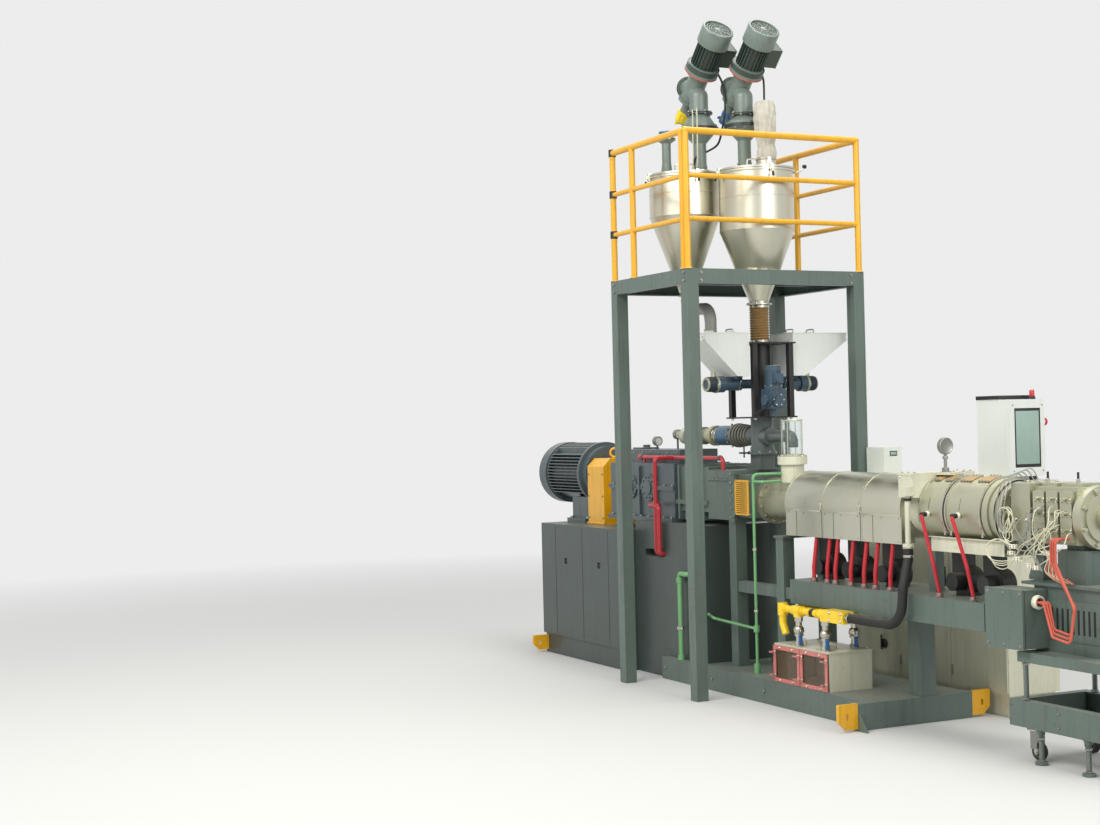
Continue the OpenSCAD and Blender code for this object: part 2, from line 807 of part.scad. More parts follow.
// red sleeves over the heater cables, and the leads from the junction box to the die
module heater_leads() {
  sleeve_r = 12;
  gland_r = 18;
  gland_h = 24;
  edge_y = -196;
  sleeve_x = [640, 775, 855, 1005, 1130, 1235, 1370];
  term_a = heater_a_x + heater_a_len * 0.42;
  term_b = heater_b_x + heater_b_len * 0.42;
  term_y = -heater_r - 17;
  term_z = axis_z - 14;
  lead_r = 6;
  color(sleeve_red) {
    for (x = sleeve_x) {
      rod([x, edge_y, tray_top], [x, edge_y, tray_top + gland_h], gland_r);
      pipe_run([[x, edge_y, tray_top + gland_h], [x, edge_y, tray_top + 90],
                [x - 12, -158, axis_z - 160]], sleeve_r, 120);
    }
    for (place = [[term_a, term_a + 90], [term_b, term_b + 110]]) {
      rod([place.y, edge_y, tray_top], [place.y, edge_y, tray_top + gland_h], gland_r);
      pipe_run([[place.x, term_y, term_z], [place.x, term_y - 30, term_z],
                [place.y - 6, -225, tray_top + 170], [place.y, edge_y, tray_top + gland_h]],
               sleeve_r - 2, 20);
    }
    for (i = [0 : 2])
      pipe_run([[2546, -235 + i * 18, 790], [2620, -235 + i * 18, 790],
                [2730 - i * 14, -284 + i * 18, 640 + i * 16],
                [2850 - i * 14, -284 + i * 18, 620 + i * 16],
                [2880 - i * 16, -284 + i * 18, 790], [2700 - i * 20, -225 + i * 4, 985],
                [2700 - i * 20, -225 + i * 4, 1100], [2700 - i * 20, -142.5, 1100]],
               lead_r, 26);
  }
}

// stepped end flange of the barrel and the square adapter plate
module adapter() {
  step = end_flange_len / 3;
  radii = [182, 172, 164];
  half = plate_side / 2;
  color(cast_aluminium) {
    for (i = [0 : 2])
      along_x(end_flange_x + i * step, step, radii[i]);
    bolt_ring(end_flange_x + end_flange_len, 132, 12, 12, 14);
    along_x(end_flange_x + end_flange_len, 60, 105);
    block([plate_x, -half, axis_z - half + 18], [die_x, half, axis_z + half + 18]);
    for (side = [-1, 1])
      for (z = [axis_z - half + 48, axis_z + half - 12])
        translate([plate_x, side * (half - 30), z])
          rotate([0, -90, 0])
            cylinder(h = 12, r = 12, $fn = 6);
  }
}

// die body with its heater plates and cartridge ends
module die_body() {
  half = 118;
  low = axis_z - 132;
  high = axis_z + 148;
  plate_t = 24;
  x0 = die_x;
  color(cast_aluminium) {
    block([x0, -half, low], [ring_x, half, high]);
    for (i = [0 : 2])
      for (side = [-1, 1])
        block([x0 + 16 + i * 94, side * (half + plate_t / 2) - plate_t / 2, low + 14],
              [x0 + 96 + i * 94, side * (half + plate_t / 2) + plate_t / 2, high - 20]);
    for (i = [0 : 2])
      for (z = [axis_z - 60, axis_z + 20, axis_z + 90])
        translate([x0 + 56 + i * 94, -half - plate_t, z])
          rotate([90, 0, 0])
            cylinder(h = 20, r = 10);
    for (i = [0 : 1])
      block([x0 + 24 + i * 140, -90, high], [x0 + 134 + i * 140, 90, high + 18]);
  }
}

// round die plate with its clamp bolts and the outlet nozzle
module die_ring() {
  hub_r = 62;
  tip_r = 38;
  bore_deep = 60;
  color([0.66, 0.56, 0.36])
    difference() {
      union() {
        along_x(ring_x, die_ring_len, die_ring_r);
        along_x(ring_x + die_ring_len, 12, die_ring_r - 34);
        bolt_ring(ring_x + die_ring_len, die_ring_r - 17, 8, 11, 16);
        along_x(ring_x + die_ring_len, 40, hub_r);
        along_x(ring_x + die_ring_len + 40, 30, tip_r);
      }
      along_x(die_front - bore_deep, bore_deep + 1, outlet_r);
    }
}

// console on the trolley, and the pedestals that carry the adapter and the die
module die_console() {
  x0 = 2440;
  low = 540;
  high = 862;
  color(structure_paint) {
    block([x0, -130, low], [x0 + 540, 230, high]);
    block([x0 - 70, -150, high], [x0 + 550, 240, high + 14]);
    hull() {
      block([plate_x + 20, -60, high + 14], [plate_x + 124, 60, high + 30]);
      block([plate_x + 44, -28, high + 150], [plate_x + 100, 28, high + 156]);
    }
    block([plate_x + 34, -40, high + 150], [plate_x + 110, 40, axis_z - plate_side / 2 + 18]);
    block([ring_x - 170, -95, high + 14], [ring_x + 20, 95, axis_z - 160]);
    block([ring_x - 130, -70, axis_z - 160], [ring_x - 20, 70, axis_z - 132]);
  }
}

// places of the four casters under the trolley
function caster_at(i) = [
  trolley_x + (i < 2 ? 95 : trolley_len - 95),
  (i % 2 == 0 ? -1 : 1) * (trolley_w / 2 - 80)
];
caster_top = 170;
fork_plate_z = caster_top - 14;

// channel frame on jack screws, with the upper table that the console stands on
module trolley_frame() {
  half = trolley_w / 2;
  low = caster_top;
  high = 300;
  t = 8;
  leg = 55;
  table_z0 = 490;
  table_z1 = 540;
  screw_r = 12;
  table_x = trolley_x + 65;
  foot_r = 32;
  color(structure_paint) {
    difference() {
      block([trolley_x, -half, low], [trolley_x + trolley_len, half, high]);
      block([trolley_x + leg, -half + leg, low - 1],
            [trolley_x + trolley_len - leg, half - leg, high + 1]);
      for (side = [-1, 1])
        block([trolley_x + t, side * (half - leg / 2) - leg / 2 + (side < 0 ? t : -1), low + t],
              [trolley_x + trolley_len - t, side * (half - leg / 2) + leg / 2 - (side > 0 ? t : -1),
               high - t]);
    }
    difference() {
      block([table_x, -half, table_z0], [trolley_x + trolley_len - 20, half, table_z1]);
      block([table_x + 50, -half + 50, table_z0 - 1],
            [trolley_x + trolley_len - 70, half - 50, table_z1 - 10]);
    }
    for (x = [table_x + 30, trolley_x + trolley_len - 50])
      for (y = [-half + 28, half - 28])
        rod([x, y, high - t / 2], [x, y, table_z0 + 5], screw_r);
    for (i = [0 : 3]) {
      place = caster_at(i);
      block([place.x - 55, place.y - 55, low], [place.x + 55, place.y + 55, low + t]);
    }
    for (x = [trolley_x + 190, trolley_x + trolley_len - 190])
      for (y = [-half + 28, half - 28]) {
        rod([x, y, 10], [x, y, low + 30], screw_r);
        rod([x, y, 0], [x, y, 12], foot_r);
        rod([x, y, low - 22], [x, y, low + t / 2], 20);
      }
  }
}

// swivel head and fork of one caster, with the axle pin
module caster_fork(i) {
  place = caster_at(i);
  offset_x = 26;
  arm_t = 5;
  gap = wheel_w / 2 + 6;
  axle_z = wheel_r + 3;
  pin_r = 6;
  color([0.25, 0.25, 0.25])
    translate([place.x, place.y, 0]) {
      translate([0, 0, fork_plate_z])
        cylinder(h = caster_top - fork_plate_z - 0.5, r = 34);
      block([-34, -gap - arm_t, fork_plate_z - 8], [34, gap + arm_t, fork_plate_z]);
      for (side = [-1, 1])
        block([-12, side * (gap + arm_t / 2) - arm_t / 2, axle_z + 10],
              [34, side * (gap + arm_t / 2) + arm_t / 2, fork_plate_z - 8]);
      for (side = [-1, 1])
        translate([offset_x, side * (gap + arm_t / 2) + arm_t / 2, axle_z])
          rotate([90, 0, 0])
            cylinder(h = arm_t, r = 16);
      for (side = [-1, 1])
        block([offset_x - 16, side * (gap + arm_t / 2) - arm_t / 2, axle_z],
              [offset_x + 8, side * (gap + arm_t / 2) + arm_t / 2, axle_z + 12]);
      translate([offset_x, gap + arm_t, axle_z])
        rotate([90, 0, 0])
          cylinder(h = 2 * (gap + arm_t), r = pin_r);
    }
}

// one caster wheel: a tyre round a stepped hub, bored for its pin
module caster_wheel(i) {
  place = caster_at(i);
  offset_x = 26;
  axle_z = wheel_r + 3;
  pin_r = 6;
  color(black_rubber)
    translate([place.x + offset_x, place.y, axle_z])
      rotate([90, 0, 0])
        difference() {
          union() {
            translate([0, 0, -wheel_w / 2])
              rotate_extrude()
                polygon([[0, 2], [wheel_r * 0.62, 2], [wheel_r * 0.68, 0], [wheel_r - 4, 0],
                         [wheel_r, 5], [wheel_r, wheel_w - 5], [wheel_r - 4, wheel_w],
                         [wheel_r * 0.68, wheel_w], [wheel_r * 0.62, wheel_w - 2],
                         [0, wheel_w - 2]]);
            translate([0, 0, -wheel_w / 2])
              cylinder(h = wheel_w, r = 15);
          }
          translate([0, 0, -wheel_w])
            cylinder(h = 2 * wheel_w, r = pin_r + 0.05);
        }
}

module junction_box() {
  x0 = 2271;
  x1 = 2542;
  y0 = -300;
  y1 = -130;
  z0 = 555;
  z1 = 850;
  lid_t = 18;
  color(structure_paint) {
    block([x0 + 4, y0 + lid_t, z0 + 4], [x1 - 4, y1, z1 - 4]);
    block([x0, y0, z0], [x1, y0 + lid_t - 4, z1]);
    block([x0 + 10, y0 + lid_t - 4, z0 + 10], [x1 - 10, y0 + lid_t, z1 - 10]);
    rod([x1 - 4, -215, 788], [x1 + 3, -215, 788], 34);
  }
}

// open separator tank; the front has two window openings
module vacuum_tank() {
  x0 = 400;
  x1 = 950;
  y0 = -325;
  y1 = -25;
  z0 = skid_h;
  z1 = tank_top;
  t = 6;
  border = 28;
  mid = (x0 + x1) / 2;
  color(pale_paint)
    difference() {
      block([x0, y0, z0], [x1, y1, z1]);
      block([x0 + t, y0 + t, z0 + t], [x1 - t, y1 - t, z1 + 1]);
      block([x0 + border, y0 - 1, z0 + border], [mid - border / 2, y0 + t + 1, z1 - border]);
      block([mid + border / 2, y0 - 1, z0 + border], [x1 - border, y0 + t + 1, z1 - border]);
    }
}

tank_top = 365;
tank_lid_t = 8;

// lid of the separator tank, with its two lifting grips
module tank_lid() {
  x0 = 394;
  x1 = 956;
  y0 = -325;
  y1 = -19;
  color(pale_paint) {
    block([x0, y0, tank_top], [x1, y1, tank_top + tank_lid_t]);
    for (x = [x0 + 60, x1 - 200])
      pipe_run([[x, -200, tank_top + 4], [x, -200, tank_top + 34], [x + 90, -200, tank_top + 34],
                [x + 90, -200, tank_top + 4]], 5, 12);
  }
}

// two clear windows in clamped frames on the front of the tank
module tank_windows() {
  x0 = 400;
  x1 = 950;
  face = -325;
  z0 = skid_h + 2;
  z1 = 363;
  frame_t = 14;
  bar = 24;
  gap = 6;
  half_w = (x1 - x0 - gap) / 2;
  wing_r = 6;
  color([0.85, 0.55, 0.52])
    for (i = [0, 1]) {
      left = x0 + i * (half_w + gap);
      difference() {
        block([left, face - frame_t, z0], [left + half_w, face, z1]);
        block([left + bar, face - frame_t - 1, z0 + bar],
              [left + half_w - bar, face - frame_t + 8, z1 - bar]);
      }
      for (x = [left + 14, left + half_w - 14])
        for (z = [z0 + 40, z1 - 40]) {
          rod([x, face - frame_t + 2, z], [x, face - frame_t - 26, z], wing_r);
          block([x - 16, face - frame_t - 30, z - 4], [x + 16, face - frame_t - 22, z + 4]);
        }
    }
}

riser_places = [[597, -285], [865, -285], [865, -83]];
riser_foot = tank_top + tank_lid_t;
manifold_z = 580;
manifold_r = 22;
hose_end_x = 1090;

// silver risers with ball valves and levers
module tank_risers() {
  pipe_r = 19;
  ball_r = 32;
  lever_len = 86;
  top = manifold_z - manifold_r - 14;
  mid_z = riser_foot + 92;
  color([0.68, 0.68, 0.64])
    for (place = riser_places)
      translate([place.x, place.y, 0]) {
        translate([0, 0, riser_foot])
          cylinder(h = top - riser_foot, r = pipe_r);
        for (z = [riser_foot, riser_foot + 58, top - 26])
          translate([0, 0, z])
            cylinder(h = 26, r = pipe_r + 7, $fn = 8);
        translate([0, 0, mid_z])
          sphere(r = ball_r);
        rod([0, 0, mid_z], [44, -20, mid_z], 8);
        block([38, -28, mid_z - lever_len], [46, -8, mid_z + 10]);
      }
}

// yellow twin suction manifold with tees, elbows and the end block
module vacuum_manifold() {
  far_y = -180;
  left_x = 432;
  tee_r = manifold_r + 8;
  front_y = riser_places[0].y;
  end_x = riser_places[1].x;
  color([0.98, 0.80, 0.05]) {
    pipe_run([[left_x + 30, front_y, manifold_z - 150], [left_x, front_y, manifold_z - 90],
              [left_x, front_y, manifold_z], [end_x, front_y, manifold_z],
              [end_x, -83, manifold_z]], manifold_r, 32);
    pipe_run([[left_x, far_y, manifold_z - 80], [left_x, far_y, manifold_z],
              [end_x, far_y, manifold_z]], manifold_r - 3, 32);
    for (place = riser_places)
      translate([place.x, place.y, manifold_z - manifold_r - 14])
        cylinder(h = 30, r = tee_r);
    for (x = [riser_places[0].x, end_x])
      along_x(x - 42, 84, tee_r, front_y, manifold_z);
    block([end_x + 36, front_y - 38, manifold_z - 34], [hose_end_x, front_y + 38, manifold_z + 36]);
    rod([end_x, front_y, manifold_z], [end_x + 40, front_y, manifold_z], manifold_r + 4);
    rod([left_x, front_y, manifold_z - 40], [left_x, front_y, manifold_z + 34], tee_r);
  }
}

module water_pipes() {
  thin_r = 9;
  thick_r = 17;
  thin_x = 85;
  thin_y = -250;
  upper_z = collar_bottom + 55;
  lower_z = upper_z - 45;
  to_collar = unit([feed_x - thin_x, -thin_y, 0]);
  collar_point = [feed_x, 0, upper_z] - to_collar * (collar_r + seat);
  thick_x = -705;
  thick_y = -332;
  thick_z = 712;
  color([0.40, 0.66, 0.42]) {
    pipe_run([[thin_x, thin_y, skid_h], [thin_x, thin_y, upper_z], collar_point], thin_r, 30);
    pipe_run([[thin_x, thin_y, lower_z - 60], [thin_x, thin_y, lower_z],
              [thin_x + 90, thin_y, lower_z], [thin_x + 90, -101, lower_z]], thin_r - 1, 20);
    rod([thin_x, thin_y, skid_h], [thin_x, thin_y, skid_h + 60], 20);
    rod([thin_x, thin_y, 400], [thin_x, thin_y, 440], 18);
    pipe_run([[-420, -290, 470], [-420, thin_y, 440], [thin_x, thin_y, 420]], thin_r, 24);
    pipe_run([[thick_x, thick_y, skid_h], [thick_x, thick_y, thick_z],
              [thick_x + 90, thick_y, thick_z], [thick_x + 90, -stand_w / 2, thick_z]],
             thick_r - 1, 20);
    for (z = [skid_h, thick_z - 60])
      rod([thick_x, thick_y, z], [thick_x, thick_y, z + 34], thick_r + 5);
  }
}

// channel beam of the platform, open towards the inside, along X from the origin
module channel_beam(length) {
  flange = 45;
  t = 7;
  rotate([90, 0, 90])
    linear_extrude(height = length)
      difference() {
        square([flange, beam_h]);
        translate([t, t])
          square([flange, beam_h - 2 * t]);
      }
}

module platform_frame() {
  beam_z = deck_z - deck_t - beam_h;
  half = platform_w / 2;
  clear_len = platform_len - 2 * post;
  clear_w = platform_w - 2 * post;
  joist_x = platform_x0 + 490;
  color(structure_paint) {
    for (x = [platform_x0, 40 - post])
      for (side = [-1, 1])
        block([x, side * post_y - post / 2, 0],
              [x + post, side * post_y + post / 2, deck_z - deck_t]);
    translate([platform_x0 + post, -half, beam_z])
      channel_beam(clear_len);
    translate([platform_x0 + post, half, beam_z])
      mirror([0, 1, 0])
        channel_beam(clear_len);
    translate([40, -half + post, beam_z])
      rotate([0, 0, 90])
        channel_beam(clear_w);
    translate([platform_x0, half - post, beam_z])
      rotate([0, 0, -90])
        channel_beam(clear_w);
    block([joist_x - 20, -half + 7, deck_z - deck_t - 50],
          [joist_x + 20, half - 7, deck_z - deck_t]);
  }
}

// radius of the large hopper's cone at a height
function cone_r(z, knee, out, r_top, r_out) = r_out + (r_top - r_out) * (z - out) / (knee - out);

module platform_deck() {
  large_hole = cone_r(deck_z, hopper_knee, hopper_out, hopper_r, bellows_r) + 8;
  small_hole = cone_r(deck_z, small_knee, small_out, small_r, 44) + 8;
  half = platform_w / 2;
  color(structure_paint)
    difference() {
      block([platform_x0, -half, deck_z - deck_t], [40, half, deck_z]);
      translate([column_x, column_y, deck_z - deck_t - 1])
        cylinder(h = deck_t + 2, r = large_hole);
      translate([small_x, small_y, deck_z - deck_t - 1])
        cylinder(h = deck_t + 2, r = small_hole);
    }
}

// a handrail panel: posts at the given places, a thick top rail and two thinner rails
module rail_panel(from, to, posts) {
  top_z = deck_z + rail_top;
  for (p = posts)
    rod([p.x, p.y, deck_z], [p.x, p.y, top_z], rail_r - 1);
  rod([from.x, from.y, top_z], [to.x, to.y, top_z], rail_r);
  for (z = [rail_mid, rail_low])
    rod([from.x, from.y, deck_z + z], [to.x, to.y, deck_z + z], rail_bar_r);
  for (p = [from, to])
    translate([p.x, p.y, top_z])
      sphere(r = rail_r + 1);
}

module rail_aisle() {
  back = platform_x0 + rail_r;
  front = rail_x - 46;
  color(safety_yellow)
    rail_panel([back, -rail_y], [front, -rail_y],
               [[back, -rail_y], [back + 265, -rail_y], [front, -rail_y]]);
}

module rail_front() {
  color(safety_yellow)
    rail_panel([rail_x, -rail_y], [rail_x, rail_y], [[rail_x, -rail_y], [rail_x, rail_y]]);
}

module rail_far() {
  back = platform_x0 + rail_r;
  front = rail_x - 2 * (rail_r + 1) - seat;
  color(safety_yellow)
    rail_panel([back, rail_y], [front, rail_y],
               [[back, rail_y], [back + 265, rail_y]]);
}

// conical hopper: shell of revolution with a rim, a seat ring on the deck and a flange
module hopper(r_top, top, knee, out, r_out, flange_r) {
  seat_r = cone_r(deck_z, knee, out, r_top, r_out);
  neck = 24;
  rotate_extrude($fn = 96)
    polygon([
      [r_out, out - neck], [flange_r, out - neck], [flange_r, out - neck + 8],
      [r_out + sheet, out - neck + 8], [r_out + sheet, out],
      [seat_r + sheet, deck_z], [seat_r + 44, deck_z], [seat_r + 44, deck_z + 8],
      [seat_r + sheet + 4, deck_z + 8],
      [r_top, knee], [r_top, top - 14], [r_top + 10, top - 14], [r_top + 10, top],
      [r_top - sheet, top], [r_top - sheet, knee + 2], [r_out, out]
    ]);
}

module large_hopper() {
  color(polished_steel)
    translate([column_x, column_y, 0])
      hopper(hopper_r, hopper_top, hopper_knee, hopper_out, bellows_r, 84);
}

module small_hopper() {
  color(polished_steel)
    translate([small_x, small_y, 0])
      hopper(small_r, small_top, small_knee, small_out, 44, 60);
}

// shallow domed lid with a clamp rim, grips and the sockets of what stands on it
module lid(r) {
  rim = 14;
  rise = 26;
  clamps = 4;
  rotate_extrude($fn = 96)
    polygon([[0, 0], [r + 10, 0], [r + 10, rim], [r - 10, rim], [r * 0.5, rise], [0, rise]]);
  for (i = [0 : clamps - 1])
    rotate(80 + i * 90) {
      translate([r + 10 + seat, -10, -26])
        cube([11, 20, 46]);
      translate([r - 8, -10, rim - 1])
        cube([20, 20, 7]);
    }
}

loader_a = [-592, -165];
loader_b = [-318, 5];
vent_stack = [-745, -330];
bag_place = [-124, 42];
lid_rise = 26;

module hopper_lids() {
  stub_r = 50;
  stub_h = 18;
  color(polished_steel) {
    translate([column_x, column_y, hopper_top])
      lid(hopper_r);
    translate([small_x, small_y, small_top])
      lid(small_r);
    for (place = [[loader_a, small_top], [loader_b, hopper_top]])
      translate([place[0].x, place[0].y, place[1] + lid_rise - 8])
        cylinder(h = stub_h, r = stub_r + 8);
    translate([bag_place.x, bag_place.y, hopper_top + 8])
      cylinder(h = 44, r = 62);
    translate([vent_stack.x, vent_stack.y, small_top + 8])
      cylinder(h = 28, r = 46);
  }
}

lean = 44;
head_rise = 539;
head_back = 56;
// how much lower the second loader's bend sits
neck_drop = 28;

// one conveyor head: pipe, flared drop box, mitred spout, leaning housing and its stub tube
module loader_head(base_z, drop) {
  pipe_r = 43;
  spout_r = 62;
  mitre_z = base_z + 482 - drop;
  head = [-head_back, 0, base_z + head_rise - drop];
  bolt_count = 8;
  rotate_extrude()
    polygon([[0, base_z], [pipe_r, base_z], [pipe_r, base_z + 171], [112, base_z + 250],
             [125, base_z + 250], [125, base_z + 276], [118, base_z + 276],
             [118, base_z + 291], [108, base_z + 291], [70, base_z + 352 - drop],
             [spout_r, base_z + 365 - drop], [88, base_z + 365 - drop],
             [88, base_z + 379 - drop], [spout_r, base_z + 379 - drop],
             [spout_r, mitre_z], [0, mitre_z]]);
  translate([0, 0, mitre_z])
    sphere(r = spout_r);
  rod([0, 0, mitre_z], head, spout_r - 1);
  translate(head) {
    rotate([0, lean, 0]) {
      translate([0, 0, -75])
        cylinder(h = 200, r = 66);
      translate([0, 0, 122])
        cylinder(h = 18 - seat, r = 92);
      translate([0, 0, -88])
        cylinder(h = 16, r = 78);
      translate([0, 0, -170])
        cylinder(h = 90, r = 35);
      translate([0, 0, -250])
        cylinder(h = 84, r = 41);
    }
    rotate([0, -70, 0]) {
      cylinder(h = 92, r = 54);
      translate([0, 0, 90])
        cylinder(h = 18, r = 71);
      for (i = [0 : bolt_count - 1])
        rotate(i * 360 / bolt_count)
          translate([60, 0, 107])
            cylinder(h = 7, r = 7, $fn = 6);
    }
  }
}

loader_stub_z = 36;

module loader_heads() {
  pipe_h = 190;
  color(loader_paint) {
    translate([loader_a.x, loader_a.y, 0])
      loader_head(small_top + loader_stub_z, 0);
    translate([loader_b.x, loader_b.y, 0])
      loader_head(hopper_top + loader_stub_z, neck_drop);
    translate([vent_stack.x, vent_stack.y, small_top + loader_stub_z])
      rotate_extrude()
        polygon([[0, 0], [38, 0], [30, 60], [30, pipe_h], [62, pipe_h + 22], [62, pipe_h + 34],
                 [40, pipe_h + 40], [44, pipe_h + 78], [0, pipe_h + 78]]);
  }
}

// finned loader motor with its flange, terminal box and recessed fan cowl
module loader_motor() {
  r = 103;
  foot = 50;
  body = 172;
  cap = 104;
  fins = 24;
  cylinder(h = foot, r = r + 7);
  translate([0, 0, foot])
    cylinder(h = body, r = r - 25);
  for (i = [0 : fins - 1])
    rotate(i * 360 / fins)
      translate([r - 28, -2, foot - 1])
        cube([17, 4, body + 2]);
  translate([0, 0, foot + body])
    rotate_extrude()
      polygon([[0, 0], [r, 0], [r, cap - 6], [r - 5, cap], [r - 14, cap], [r - 14, cap - 12],
               [30, cap - 12], [26, cap - 6], [0, cap - 6]]);
  translate([-55, r - 30, foot + 26])
    cube([110, 87, 128]);
}

module loader_motors() {
  start = 140;
  color([0.30, 0.38, 0.35])
    for (place = [[loader_a, small_top], [loader_b, hopper_top - neck_drop]])
      translate([place[0].x - head_back, place[0].y, place[1] + loader_stub_z + head_rise])
        rotate([0, lean, 0])
          translate([0, 0, start])
            loader_motor();
}

module filter_bag() {
  r = 68;
  foot_z = hopper_top + 52;
  color([0.86, 0.86, 0.80])
    translate([bag_place.x, bag_place.y, foot_z])
      rotate_extrude()
        polygon([[0, 0], [58, 0], [r, 60], [r - 4, 200], [r - 8, 330], [r - 24, 370],
                 [0, 380]]);
}

// ribbed flexible sleeve between the hopper's flange and the feeder column
module bellows() {
  top = hopper_out - 24;
  bottom = 2206;
  ribs = 12;
  clamp = 22;
  pitch = (top - bottom - 2 * clamp) / ribs;
  outer = [for (i = [0 : ribs - 1]) each [
    [bellows_r - 4, bottom + clamp + i * pitch],
    [bellows_r + 5, bottom + clamp + (i + 0.5) * pitch]
  ]];
  color([0.65, 0.51, 0.27])
    translate([column_x, column_y, 0])
      rotate_extrude()
        polygon(concat(
          [[bellows_r - 14, bottom], [bellows_r + 2, bottom], [bellows_r + 2, bottom + clamp]],
          outer,
          [[bellows_r - 4, top - clamp], [bellows_r + 2, top - clamp], [bellows_r + 2, top],
           [bellows_r - 14, top]]));
}

frame_bottom = 1722;
frame_top = 2206;

// four-post column frame with its two plates and the drop tube
module feeder_frame() {
  leg = 17;
  spread = 135;
  plate_t = 10;
  plate_half = 165;
  tube_r = 64;
  color(black_rubber)
    translate([column_x, column_y, 0]) {
      for (sx = [-1, 1])
        for (sy = [-1, 1])
          block([sx * spread - leg, sy * spread - leg, frame_bottom + plate_t],
                [sx * spread + leg, sy * spread + leg, frame_top - plate_t]);
      difference() {
        union() {
          for (z = [frame_bottom, frame_top - plate_t])
            translate([-plate_half, -plate_half, z])
              cube([2 * plate_half, 2 * plate_half, plate_t]);
          translate([0, 0, frame_bottom])
            cylinder(h = frame_top - frame_bottom, r = tube_r);
        }
        translate([0, 0, frame_bottom - 1])
          cylinder(h = frame_top - frame_bottom + 2, r = tube_r - 8);
      }
    }
}

// upright agitator motor and its worm reducer on the front of the column
module agitator_drive() {
  x = column_x + 135 + 22 + 62;
  y = column_y - 50;
  color(motor_blue) {
    translate([x, y, 1905]) {
      cylinder(h = 18, r = 58);
      translate([0, 0, 18])
        cylinder(h = 96, r = 46);
      for (i = [0 : 15])
        rotate(i * 22.5)
          translate([42, -2, 17])
            cube([6.5, 4, 98]);
      translate([0, 0, 114])
        cylinder(h = 34, r = 50);
      translate([30, -32, 34])
        cube([44, 60, 62]);
    }
    block([x - 58, y - 56, 1780], [x + 50, y + 56, 1905]);
    translate([x + 50, y, 1835])
      rotate([0, 90, 0])
        cylinder(h = 12, r = 46);
    translate([x, y + 74, 1835])
      rotate([90, 0, 0])
        cylinder(h = 148, r = 34);
    difference() {
      rod([x - 50, y, 1840], [column_x + 40, column_y, 1840], 24);
      translate([column_x, column_y, 1800])
        cylinder(h = 80, r = 64 + seat);
    }
    rod([x - 4, y, 1732 + seat], [x - 4, y, 1780], 20);
  }
}

screw_z = 1612;

// metering screw with its drive, coupling cone, tee, pedestal and the spout
module metering_screw() {
  tube_r = 58;
  motor_x = -1235;
  tee_r = 72;
  foot_z = dist_top;
  spout_r = 38;
  spout_z = collar_top + 125;
  ribs = 6;
  to_feed = unit([feed_x - column_x, -column_y, 0]);
  color([0.33, 0.36, 0.34]) {
    along_x(motor_x, 60, 56, column_y, screw_z);
    along_x(motor_x + 60, 330, 50, column_y, screw_z);
    for (i = [0 : 7])
      along_x(motor_x + 80 + i * 26, 10, 60, column_y, screw_z);
    along_x(motor_x + 390, 40, 68, column_y, screw_z);
    along_x(motor_x + 430, 60, 54, column_y, screw_z);
    along_x(motor_x + 490, 200, 66, column_y, screw_z);
    for (i = [0 : ribs - 1])
      along_x(motor_x + 690 + i * 30, 18, 80 - i * 3, column_y, screw_z);
    along_x(motor_x + 690, column_x - motor_x - 690, tube_r, column_y, screw_z);
    translate([column_x, column_y, screw_z - 76])
      cylinder(h = frame_bottom - screw_z + 76, r = tee_r);
    translate([column_x, column_y, screw_z - 122])
      cylinder(h = 14, r = 92);
    translate([column_x, column_y, screw_z - 108])
      cylinder(h = 32, r = 78);
    block([column_x - 56, column_y - 56, foot_z + 10],
          [column_x + 56, column_y + 56, screw_z - 122]);
    block([column_x - 80, column_y - 80, foot_z], [column_x + 80, column_y + 80, foot_z + 10]);
    rod([column_x, column_y, spout_z], [column_x, column_y, spout_z] + to_feed * 140, 56);
    pipe_run([[column_x, column_y, spout_z] + to_feed * 100, [feed_x, 0, spout_z],
              [feed_x, 0, spout_z - 70]], spout_r, 42);
  }
}

// two wedge hoppers, shells open above and below, that feed the column from both sides
module dosing_hoppers() {
  half = 130;
  near = 166;
  low = dose_top - 272;
  knee = 46;
  t = 4;
  throat = 90;
  color(white_paint)
    for (side = [-1, 1])
      translate([column_x, column_y, 0])
        rotate([0, 0, side > 0 ? 0 : 180])
          let (reach = side > 0 ? dose_reach : dose_short)
          difference() {
            translate([half, 0, 0])
              rotate([0, -90, 0])
                linear_extrude(height = 2 * half)
                  polygon([[low, near], [low, near + throat], [dose_top - knee, reach],
                           [dose_top, reach], [dose_top, near]]);
            translate([half - t, 0, 0])
              rotate([0, -90, 0])
                linear_extrude(height = 2 * (half - t))
                  polygon([[low - 1, near + t], [low - 1, near + throat - t],
                           [dose_top - knee + t, reach - t],
                           [dose_top + 1, reach - t], [dose_top + 1, near + t]]);
          }
}

// lids of the dosing hoppers, with an edge and two grips each
module dosing_lids() {
  half = 133;
  near = 163;
  t = 5;
  color(white_paint)
    for (side = [-1, 1])
      translate([column_x, column_y, 0])
        rotate([0, 0, side > 0 ? 0 : 180]) {
          block([-half, near, dose_top],
                [half, (side > 0 ? dose_reach : dose_short) + 3, dose_top + t]);
          for (y = [near + 60, near + 220])
            block([-60, y, dose_top + t], [-40, y + 60, dose_top + t + 14]);
        }
}

// drives of the feeder column: the agitator's, and the screw drives of the dosing hoppers
module feeder_drives() {
  agitator_drive();
  dosing_drives();
}

